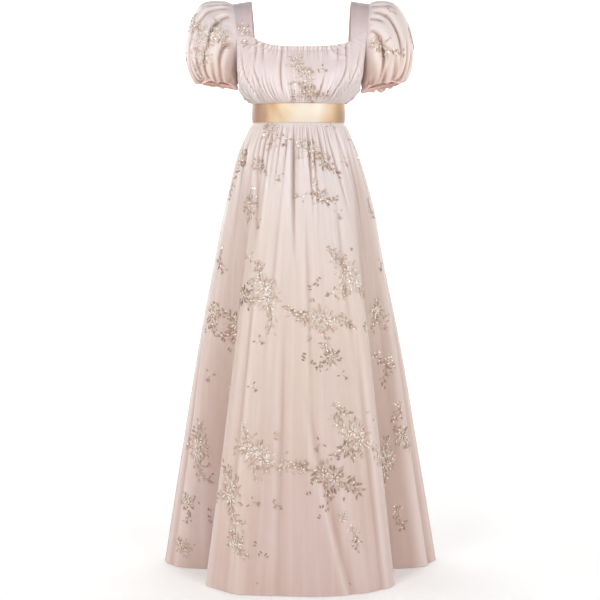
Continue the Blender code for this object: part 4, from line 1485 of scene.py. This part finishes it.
def strap_sheet(name):
    side = SIDES[name]
    columns, rows = STRAP_GRID
    seam_share = SEAM_GAP / ARMHOLE_FRONT
    along = np.linspace(1 - seam_share, seam_share - 1, rows)
    outer = armhole_points(side, side.seam_turn * along, SEAM_GAP)
    cos, sin = cos_sin(90 * along)
    corner = np.where((along > 0)[:, None], neck_corner(side, True), neck_corner(side, False))
    x = mix(side.sign * side.strap_top, corner[:, 0], 1 - cos)
    inner = points_of(x, corner[:, 1] * np.abs(sin), corner[:, 2] * (1 - cos))
    share = np.linspace(0, 1, columns)
    points = mix(inner[:, None], outer[:, None], share[None, :, None])
    middle = (points[..., 0].mean(), 0.0, NECK_CORNER_BACK_Z)
    return Sheet(f"strap_{name}_cloth", points, share, -along, CUTS["strap"].width, middle=middle)


# The ribbon's creases by share of its height and angle
SASH_CREASES = table(
    Crease,
    (-0.3, 0.45, 1.3, -52, -44, 0.0028, 11.0, -0.2),
    (-0.3, 0.45, 1.3, -26, -8, 0.001, 4.5, 0.3),
    (-0.3, 0.6, 1.3, 58, 50, 0.0008, 7.0, 0.0),
    (-0.3, 0.5, 1.3, 128, 140, 0.001, 6.0, 0.0),
    (-0.3, 0.4, 1.3, 212, 224, 0.001, 6.0, 0.2),
)

# Where the ribbon's painted sheen dulls to painted shade, in the same measures
SASH_PAINTED_SHADE = table(
    Crease,
    (-2.0, 0.5, 3.0, -58, -50, 0.75, 14.0, 0.0),
    (-0.5, 0.6, 1.8, -38, -8, 0.22, 6.0, 0.0),
    (-1.0, 0.4, 2.0, 36, 44, 0.08, 8.0, 0.0),
    (-1.0, 0.5, 2.0, 130, 142, 0.35, 12.0, 0.0),
    (-1.0, 0.5, 2.0, 214, 224, 0.3, 12.0, 0.0),
)

# The ribbon's bulge and its stitched edges, and the turn and slant of the light that its painted sheen
# stands for
SASH_BELLY = 0.0012
SELVEDGE_RISE = 0.0005
SELVEDGE_WIDTH = 0.03
SASH_LIGHT_ANGLE = 3
SASH_LIGHT_SLANT = 14


def sash_sheet():
    columns, rows = SASH_GRID
    angle = turns_round(columns)
    down = np.linspace(0, 1, rows)
    z = mix(SASH_TOP_Z, SASH_BOTTOM_Z, down)[:, None]
    places = np.broadcast_arrays(angle[None, :], down[:, None])
    belly = np.sin(math.pi * down)[:, None]
    selvedges = (SELVEDGE_WIDTH, 1 - SELVEDGE_WIDTH)
    edge = SELVEDGE_RISE * sum(np.exp(-(((down - at) / SELVEDGE_WIDTH) ** 2)) for at in selvedges)
    creased = crease_depth(SASH_CREASES, *places, 360)
    out = RIBBON_GAP + RIBBON_WALL + SASH_BELLY * belly + edge[:, None] - creased * belly
    points = moved_out(waist_points(angle[None, :] * np.ones_like(z), z), out)
    sheet = Sheet("sash_cloth", points, angle, down, CUTS["sash"].width, True)
    # Painted sheen: lighter where the ribbon faces that light, darker tan where it turns away or its
    # sheen dulls
    slant = SASH_LIGHT_SLANT * (down[:, None] - 0.5)
    lit = np.cos(np.radians(angle[None, :] - SASH_LIGHT_ANGLE + slant)) ** 2
    sheet.painted_sheen = np.clip(lit - crease_depth(SASH_PAINTED_SHADE, *places, 360), 0, 1)
    return sheet


class Shading:
    """A material's node tree, built by short calls."""

    def __init__(self, name):
        self.material = bpy.data.materials.new(name)
        self.material.use_nodes = True
        self.tree = self.material.node_tree
        self.shader = self.tree.nodes["Principled BSDF"]

    def feed(self, socket, value):
        if isinstance(value, bpy.types.NodeSocket):
            self.tree.links.new(value, socket)
        elif value is not None:
            socket.default_value = value

    def node(self, kind, settings=None, **inputs):
        """A node with its settings, and with values or other nodes' outputs at its inputs."""
        made = self.tree.nodes.new("ShaderNode" + kind)
        for key, value in (settings or {}).items():
            setattr(made, key, value)
        for key, value in inputs.items():
            self.feed(made.inputs[key.replace("_", " ")], value)
        return made

    def attribute(self, name, output="Vector"):
        return self.node("Attribute", {"attribute_name": name}).outputs[output]

    def maths(self, operation, first, second=None):
        made = self.node("Math", {"operation": operation})
        self.feed(made.inputs[0], first)
        self.feed(made.inputs[1], second)
        return made.outputs[0]

    def stretched(self, vector, scale):
        """Places scaled along each axis, so that a noise on them is stretched or fine."""
        made = self.node("Mapping", Vector=vector)
        made.inputs["Scale"].default_value = scale
        return made.outputs[0]

    def noise(self, vector, scale, detail=2.0):
        return self.node("TexNoise", Vector=vector, Scale=scale, Detail=detail).outputs["Fac"]

    def ramp(self, value, stops):
        """A colour ramp through (place, colour) stops."""
        made = self.node("ValToRGB", Fac=value)
        elements = made.color_ramp.elements
        while len(elements) < len(stops):
            elements.new(0.5)
        for element, (place, colour) in zip(elements, stops):
            element.position = place
            element.color = (*colour, 1.0)
        return made.outputs["Color"]

    def mixed(self, share, first, second):
        made = self.node("Mix", {"data_type": "RGBA"})
        self.feed(made.inputs[0], share)
        for socket, value in ((made.inputs[6], first), (made.inputs[7], second)):
            if isinstance(value, tuple):
                value = (*value, 1.0)
            self.feed(socket, value)
        return made.outputs[2]

    def spread(self, value, low, high, start=0.0, end=1.0):
        """A value between start and end, spread over low to high."""
        limits = {"From_Min": start, "From_Max": end, "To_Min": low, "To_Max": high}
        return self.node("MapRange", Value=value, **limits).outputs["Result"]

    def tinted(self, base, tint, value, low, high, start=0.0, end=1.0):
        """A colour with another mixed in, by a share that goes from low to high with the value."""
        return self.mixed(self.spread(value, low, high, start, end), base, tint)

    def bump(self, height, distance, strength, normal=None):
        made = self.node("Bump", Height=height, Strength=strength, Distance=distance)
        if normal is not None:
            self.tree.links.new(normal, made.inputs["Normal"])
        return made.outputs["Normal"]

    def finish(self, colour, roughness, normal=None, **numbers):
        """The material, with its colour, roughness and normal fed in and its other numbers set."""
        for name, value in (("Base Color", colour), ("Roughness", roughness), ("Normal", normal)):
            self.feed(self.shader.inputs[name], value)
        for key, value in numbers.items():
            self.shader.inputs[key.replace("_", " ")].default_value = value
        return self.material


def srgb(red, green, blue):
    """A colour given as 0 to 255 screen values, in linear light."""
    values = []
    for part in (red, green, blue):
        part = part / 255
        values.append(part / 12.92 if part <= 0.04045 else ((part + 0.055) / 1.055) ** 2.4)
    return tuple(values)


# Colours of the net over its satin by height, from the hem to the shoulders
NET_HEIGHTS = (
    (0.0, srgb(191, 162, 152)),
    (0.14, srgb(195, 168, 158)),
    (0.36, srgb(203, 182, 172)),
    (0.58, srgb(209, 194, 186)),
    (0.78, srgb(224, 212, 210)),
    (1.0, srgb(207, 191, 193)),
)
# Colours of the sleeves by height, darker and more peach low down by the cuff as painted shade under
# the puff
SLEEVE_HEIGHTS_PAINTED_SHADE = (
    (0.85, srgb(198, 158, 141)),
    (0.872, srgb(200, 169, 156)),
    (0.905, srgb(208, 187, 179)),
    (0.945, srgb(217, 203, 201)),
    (1.0, srgb(219, 205, 205)),
)
# The cuffs' colours, lighter than the sleeves' low down, as painted light on cuffs that lie in shade
CUFF_HEIGHTS_PAINTED_LIGHT = ((0.84, srgb(250, 214, 200)), (0.88, srgb(240, 208, 196)))
STRAP_HEIGHTS = (
    (0.915, srgb(208, 194, 195)),
    (0.95, srgb(199, 182, 184)),
    (1.0, srgb(197, 180, 183)),
)
NET_WARM = srgb(208, 187, 166)
NET_COOL = srgb(208, 198, 206)
# Painted shade for gather valleys and folds, also for the darker streaks; painted highlight for
# ridges, also for the lighter streaks
NET_SHADE_AND_STREAK = srgb(172, 138, 124)
NET_HIGHLIGHT_AND_STREAK = srgb(238, 228, 226)
NET_THREAD = srgb(242, 234, 231)
MESHES_PER_METRE = 620.0


def net_material(name, warmth, heights=NET_HEIGHTS, painted_shade_contrast=1.0):
    """Fine tulle over blush satin: small meshes, soft streaks, painted shade in gather valleys and
    folds where the net also lies thicker, and painted highlight on ridges.
    """
    s = Shading(name)
    place = s.node("TexCoord").outputs["Object"]
    height = s.node("SeparateXYZ", Vector=place).outputs["Z"]
    base = s.ramp(s.spread(height, 0.0, 1.0, HEM_Z, 0.0), heights)
    cut = s.attribute("cut")
    clouds = s.noise(s.stretched(place, (1.0, 1.0, 0.35)), 5.0, 3.0)
    base = s.tinted(base, NET_WARM, clouds, 0.0, warmth, 0.48, 0.72)
    base = s.tinted(base, NET_COOL, clouds, 0.22, 0.0, 0.28, 0.46)
    # Painted shade in the gathers' valleys, where the net also lies doubled, and painted highlight on
    # their ridges
    gather_shade_and_highlight = s.attribute("gather_shade_and_highlight", "Fac")
    base = s.tinted(base, NET_SHADE_AND_STREAK, gather_shade_and_highlight, 0.0, 0.55 * painted_shade_contrast, 0.05, 1.0)
    base = s.tinted(base, NET_HIGHLIGHT_AND_STREAK, gather_shade_and_highlight, 0.0, 0.4 * painted_shade_contrast, -0.05, -1.0)
    # Painted shade in and beside the skirt's broad folds
    base = s.tinted(base, NET_SHADE_AND_STREAK, s.attribute("fold", "Fac"), 0.0, 0.44, 0.06, 0.6)
    streaks = s.noise(s.stretched(cut, (70.0, 3.0, 1.0)), 1.0, 3.0)
    base = s.tinted(base, NET_SHADE_AND_STREAK, streaks, 0.1, 0.0, 0.3, 0.5)
    base = s.tinted(base, NET_HIGHLIGHT_AND_STREAK, streaks, 0.0, 0.12, 0.52, 0.75)
    edges = {"feature": "DISTANCE_TO_EDGE"}
    mesh = s.node("TexVoronoi", edges, Vector=cut, Scale=MESHES_PER_METRE, Randomness=0.25)
    threads = s.spread(mesh.outputs["Distance"], 1.0, 0.0, 0.02, 0.14)
    base = s.mixed(s.maths("MULTIPLY", threads, 0.22), base, NET_THREAD)
    grain = s.noise(s.stretched(cut, (2400.0, 500.0, 1.0)), 1.0, 1.0)
    normal = s.bump(grain, 0.0002, 0.25)
    normal = s.bump(threads, 0.0003, 0.35, normal)
    normal = s.bump(streaks, 0.003, 0.45, normal)
    roughness = s.spread(clouds, 0.36, 0.46, 0.3, 0.7)
    sheen = {"Sheen_Weight": 0.25, "Sheen_Roughness": 0.35}
    return s.finish(base, roughness, normal, Specular_IOR_Level=0.55, **sheen)


# The satin's colour from painted shade through to painted highlight
SATIN_SHADE_TO_HIGHLIGHT = (
    (0.0, srgb(150, 112, 84)),
    (0.35, srgb(183, 147, 108)),
    (0.65, srgb(209, 182, 146)),
    (1.0, srgb(217, 205, 188)),
)
SATIN_WEFT = srgb(186, 150, 110)


def satin_material(name):
    """Champagne satin ribbon: a fine crosswise rib, a painted lengthwise sheen with painted shade, and
    stitched edges.
    """
    s = Shading(name)
    cut = s.attribute("cut")
    drift = s.noise(s.stretched(cut, (14.0, 9.0, 1.0)), 1.0, 1.0)
    # Painted sheen, with its colour drifting a little at random
    painted_sheen = s.maths("ADD", s.attribute("painted_sheen", "Fac"), s.spread(drift, -0.15, 0.15, 0.3, 0.7))
    base = s.ramp(painted_sheen, SATIN_SHADE_TO_HIGHLIGHT)
    weft = s.noise(s.stretched(cut, (160.0, 5200.0, 1.0)), 1.0, 1.0)
    warp = s.noise(s.stretched(cut, (6000.0, 90.0, 1.0)), 1.0, 1.0)
    base = s.tinted(base, SATIN_WEFT, weft, 0.0, 0.12, 0.4, 0.7)
    normal = s.bump(weft, 0.00015, 0.3)
    normal = s.bump(warp, 0.0001, 0.2, normal)
    normal = s.bump(drift, 0.0025, 0.4, normal)
    roughness = s.spread(weft, 0.32, 0.4, 0.3, 0.7)
    return s.finish(base, roughness, normal, Metallic=0.12, Specular_IOR_Level=0.8, Anisotropic=0.4)


def satin_back_material(name, colour, shade):
    """The dull side of a satin: a soft twill in two tones of its colour."""
    s = Shading(name)
    cut = s.attribute("cut")
    twill = s.noise(s.stretched(cut, (900.0, 2600.0, 1.0)), 1.0, 2.0)
    clouds = s.noise(s.stretched(cut, (30.0, 12.0, 1.0)), 1.0, 2.0)
    base = s.tinted(colour, shade, clouds, 0.0, 0.6, 0.35, 0.65)
    base = s.tinted(base, shade, twill, 0.0, 0.25, 0.45, 0.65)
    normal = s.bump(twill, 0.0002, 0.4)
    return s.finish(base, s.spread(twill, 0.45, 0.6), normal, Sheen_Weight=0.2)


THREAD_TONES = (
    (0.0, srgb(255, 253, 251)),
    (0.26, srgb(253, 241, 232)),
    (0.5, srgb(230, 200, 176)),
    (0.74, srgb(188, 150, 128)),
    (1.0, srgb(124, 88, 78)),
)
# Painted shade in the grooves between stitches
THREAD_GROOVE_SHADE = srgb(158, 120, 104)
SEQUIN_TONES = (
    (0.0, srgb(255, 253, 250)),
    (0.5, srgb(246, 226, 200)),
    (1.0, srgb(214, 178, 136)),
)
SEQUIN_SHIMMER = srgb(226, 214, 240)


def thread_material(name):
    """Satin-stitched silk thread: fine parallel stitches across each petal and leaf, with painted
    shade in the grooves between them.
    """
    s = Shading(name)
    base = s.ramp(s.attribute("tone", "Fac"), THREAD_TONES)
    stitch = s.attribute("stitch")
    waves = {"wave_type": "BANDS", "bands_direction": "Y"}
    lines = s.node("TexWave", waves, Vector=stitch, Scale=480.0, Distortion=1.2, Detail=1.0)
    height = lines.outputs["Fac"]
    # Painted shade in the grooves between the stitches
    base = s.tinted(base, THREAD_GROOVE_SHADE, height, 0.2, 0.0, 0.0, 0.55)
    normal = s.bump(height, 0.0004, 0.7)
    roughness = s.spread(height, 0.42, 0.24)
    return s.finish(base, roughness, normal, Sheen_Weight=0.3, Specular_IOR_Level=0.85)


def sequin_material(name):
    """Small cupped sequins and glass beads, champagne and clear, with a faint iridescence."""
    s = Shading(name)
    base = s.ramp(s.attribute("tone", "Fac"), SEQUIN_TONES)
    shimmer = s.noise(s.node("TexCoord").outputs["Object"], 900.0, 1.0)
    base = s.tinted(base, SEQUIN_SHIMMER, shimmer, 0.0, 0.35, 0.45, 0.65)
    normal = s.bump(shimmer, 0.0004, 0.3)
    return s.finish(base, s.spread(shimmer, 0.1, 0.24), normal, Metallic=0.75, Specular_IOR_Level=0.8)


def dress_piece(name, sheet, material, sprays=(), wall=FINE_WALL):
    """A sheet's mesh in place of its solid, with its embroidery."""
    made = cloth_object(sheet, material, sash_back if name == "sash" else satin_back_lightened, wall)
    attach(made, "root")
    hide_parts(*part_nodes(name))
    on_it = []
    if sprays:
        margin = STRAP_MARGIN if name.startswith("strap") else BROAD_MARGIN
        work = Embroidery(sheet, seed=len(sprays) * 7 + len(name), margin=margin)
        for spray in sprays:
            if isinstance(spray, SeenSpray):
                spot = sheet.seen_at(spray.photo_x, spray.photo_y)
            else:
                spot = sheet.place(spray.across, spray.along)
            getattr(work, spray.kind)(spot, spray.turn, spray.size, spray.tone)
        on_it.append(work.made(f"embroidery_{name}", (threads, sequins)))
        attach(on_it[0], "root")


def part_nodes(name):
    """The solids that a sheet stands for: the skirt's panels are built in several parts."""
    gores = SKIRT_GORES.get(name)
    if gores is None:
        return [name]
    return [f"{name}_{gore}_{tier}" for gore in gores for tier in SKIRT_TIERS]


bodice_net = net_material("bodice_net", 0.25, painted_shade_contrast=1.7)
strap_net = net_material("strap_net", 0.15, STRAP_HEIGHTS)
sleeve_net = net_material("sleeve_net", 0.3, SLEEVE_HEIGHTS_PAINTED_SHADE, painted_shade_contrast=1.25)
cuff_net = net_material("cuff_net", 0.3, CUFF_HEIGHTS_PAINTED_LIGHT)
skirt_net = net_material("skirt_net", 0.4)
# The lining's blush is lightened as painted light, standing for light that comes through the thin net
satin_back_lightened = satin_back_material("satin_back_lightened", srgb(250, 222, 211), srgb(242, 209, 195))
sash_back = satin_back_material("sash_back", srgb(222, 190, 148), srgb(206, 170, 128))
sash_satin = satin_material("sash_satin")
threads = thread_material("embroidery_thread")
sequins = sequin_material("sequins")

PANEL_SPRAYS = {
    "bodice_front": BODICE_FRONT_SPRAYS,
    "bodice_back": BODICE_BACK_SPRAYS,
    "skirt_front": SKIRT_SEEN_SPRAYS + SKIRT_FRONT_SPRAYS,
    "skirt_back": SKIRT_BACK_SPRAYS,
}
for name, sprays in PANEL_SPRAYS.items():
    make_sheet, net, slot = bodice_sheet, bodice_net, "bodice_net"
    if name.startswith("skirt"):
        make_sheet, net, slot = skirt_sheet, skirt_net, "skirt_net"
    sheet = make_sheet(name.endswith("front"))
    dress_piece(name, sheet, net, sprays)
for side in SIDES:
    sheet, sprays = sleeve_sheet(side), SLEEVE_SPRAYS[side]
    dress_piece(f"sleeve_{side}", sheet, sleeve_net, sprays)
    dress_piece(f"cuff_{side}", cuff_sheet(side), cuff_net)
    sheet, sprays = strap_sheet(side), STRAP_SPRAYS[side]
    dress_piece(f"strap_{side}", sheet, strap_net, sprays)
dress_piece("sash", sash_sheet(), sash_satin, wall=FINE_RIBBON)


def camera_at_photo():
    """A camera at the photo's height and distance, nearly level, with the frame shifted down."""
    camera_data = bpy.data.cameras.new("camera")
    camera = bpy.data.objects.new("camera", camera_data)
    bpy.context.scene.collection.objects.link(camera)
    camera.location = (0, -CAMERA_DISTANCE, CAMERA_HEIGHT)
    camera.rotation_euler = (math.radians(90 - CAMERA_PITCH), 0, 0)
    camera_data.lens = camera_data.sensor_width * CAMERA_FOCAL / PHOTO_SIZE
    camera_data.shift_y = CAMERA_SHIFT
    bpy.context.scene.camera = camera


def area_light(lamp):
    """A soft box that points from its place at its aim, and doesn't show."""
    data = bpy.data.lights.new(lamp.name, "AREA")
    data.shape = "RECTANGLE"
    data.size, data.size_y = lamp.width, lamp.height
    data.energy = lamp.power
    data.color = lamp.colour
    light = bpy.data.objects.new(lamp.name, data)
    light.location = lamp.place
    light.visible_camera = False
    direction = np.array(lamp.aim, float) - np.array(lamp.place, float)
    lean = math.acos(-direction[2] / np.linalg.norm(direction))
    light.rotation_euler = (lean, 0, math.atan2(direction[1], direction[0]) - math.pi / 2)
    bpy.context.scene.collection.objects.link(light)


PAPER_TONES = ((0.85, 0.85, 0.85), (0.88, 0.88, 0.88))
PAPER_GLOW = 0.18
WORLD_COLOUR = (0.98, 0.98, 1.0, 1.0)
WORLD_STRENGTH = 0.14
WARM = (1.0, 0.98, 0.96)
MILD = (1.0, 0.99, 0.98)
PLAIN = (1, 1, 1)
Lamp = namedtuple("Lamp", "name place aim width height power colour")
LAMPS = table(
    Lamp,
    ("key", (-2.1, -3.2, 1.3), (0, 0, -0.6), 1.3, 2.0, 49, WARM),
    ("fill", (2.3, -3.0, 0.8), (0, 0, -0.7), 1.2, 2.0, 36, MILD),
    ("front", (0.2, -3.6, 0.1), (0, 0, -0.5), 0.9, 0.9, 10, WARM),
    ("side_left", (-3.6, -0.9, -0.4), (0, 0, -1.0), 0.8, 1.6, 23, WARM),
    ("side_right", (3.6, -0.9, -0.4), (0, 0, -1.0), 0.8, 1.6, 16, WARM),
    ("rear_left", (2.4, 2.9, 1.0), (0, 0, -0.7), 1.2, 2.0, 16, MILD),
    ("rear_right", (-2.4, 2.9, 1.0), (0, 0, -0.7), 1.2, 2.0, 20, WARM),
    ("backdrop", (0, 3.9, 2.8), (0, 5.6, -0.6), 6.0, 2.0, 190, PLAIN),
)

# The floor's flat radius and the radius of its bend up, with the sides that both are cut into
FLOOR_RADIUS = 4.8
FLOOR_BEND = 1.6
FLOOR_SIDES = 96
FLOOR_RINGS = 4
FLOOR_BEND_STEP = 15
FLOOR_GAP = 0.001
WALL_HEIGHT = 5.0


def floor_mesh():
    """Points and faces of a round floor that curves up all round into a wall."""
    profile = [(FLOOR_RADIUS * k / FLOOR_RINGS, 0.0) for k in range(1, FLOOR_RINGS + 1)]
    for turn in range(FLOOR_BEND_STEP, 91, FLOOR_BEND_STEP):
        over, up = math.sin(math.radians(turn)), 1 - math.cos(math.radians(turn))
        profile.append((FLOOR_RADIUS + FLOOR_BEND * over, FLOOR_BEND * up))
    profile.append((FLOOR_RADIUS + FLOOR_BEND, WALL_HEIGHT))
    points = [(0.0, 0.0, HEM_Z - FLOOR_GAP)]
    for radius, z in profile:
        for k in range(FLOOR_SIDES):
            turn = math.tau * k / FLOOR_SIDES
            points.append((radius * math.cos(turn), radius * math.sin(turn), z + HEM_Z - FLOOR_GAP))
    faces = [(0, k + 1, (k + 1) % FLOOR_SIDES + 1) for k in range(FLOOR_SIDES)]
    for ring in range(len(profile) - 1):
        inner = 1 + ring * FLOOR_SIDES
        outer = inner + FLOOR_SIDES
        for k in range(FLOOR_SIDES):
            n = (k + 1) % FLOOR_SIDES
            faces.append((inner + k, outer + k, outer + n, inner + n))
    return points, faces


def studio():
    """A pale paper floor, soft boxes and an even pale world."""
    s = Shading("studio_paper")
    tone = s.noise(s.node("TexCoord").outputs["Object"], 3.0)
    colour = s.tinted(PAPER_TONES[0], PAPER_TONES[1], tone, 0.0, 1.0, 0.4, 0.6)
    glow = {"Emission_Color": (1.0, 1.0, 1.0, 1.0), "Emission_Strength": PAPER_GLOW}
    paper = s.finish(colour, 0.85, Specular_IOR_Level=0.1, **glow)
    mesh_object("floor", *floor_mesh(), paper)
    for lamp in LAMPS:
        area_light(lamp)
    world = bpy.data.worlds.new("studio")
    world.use_nodes = True
    background = world.node_tree.nodes["Background"]
    background.inputs["Color"].default_value = WORLD_COLOUR
    background.inputs["Strength"].default_value = WORLD_STRENGTH
    bpy.context.scene.world = world
    bpy.context.scene.view_settings.view_transform = "Standard"


camera_at_photo()
studio()
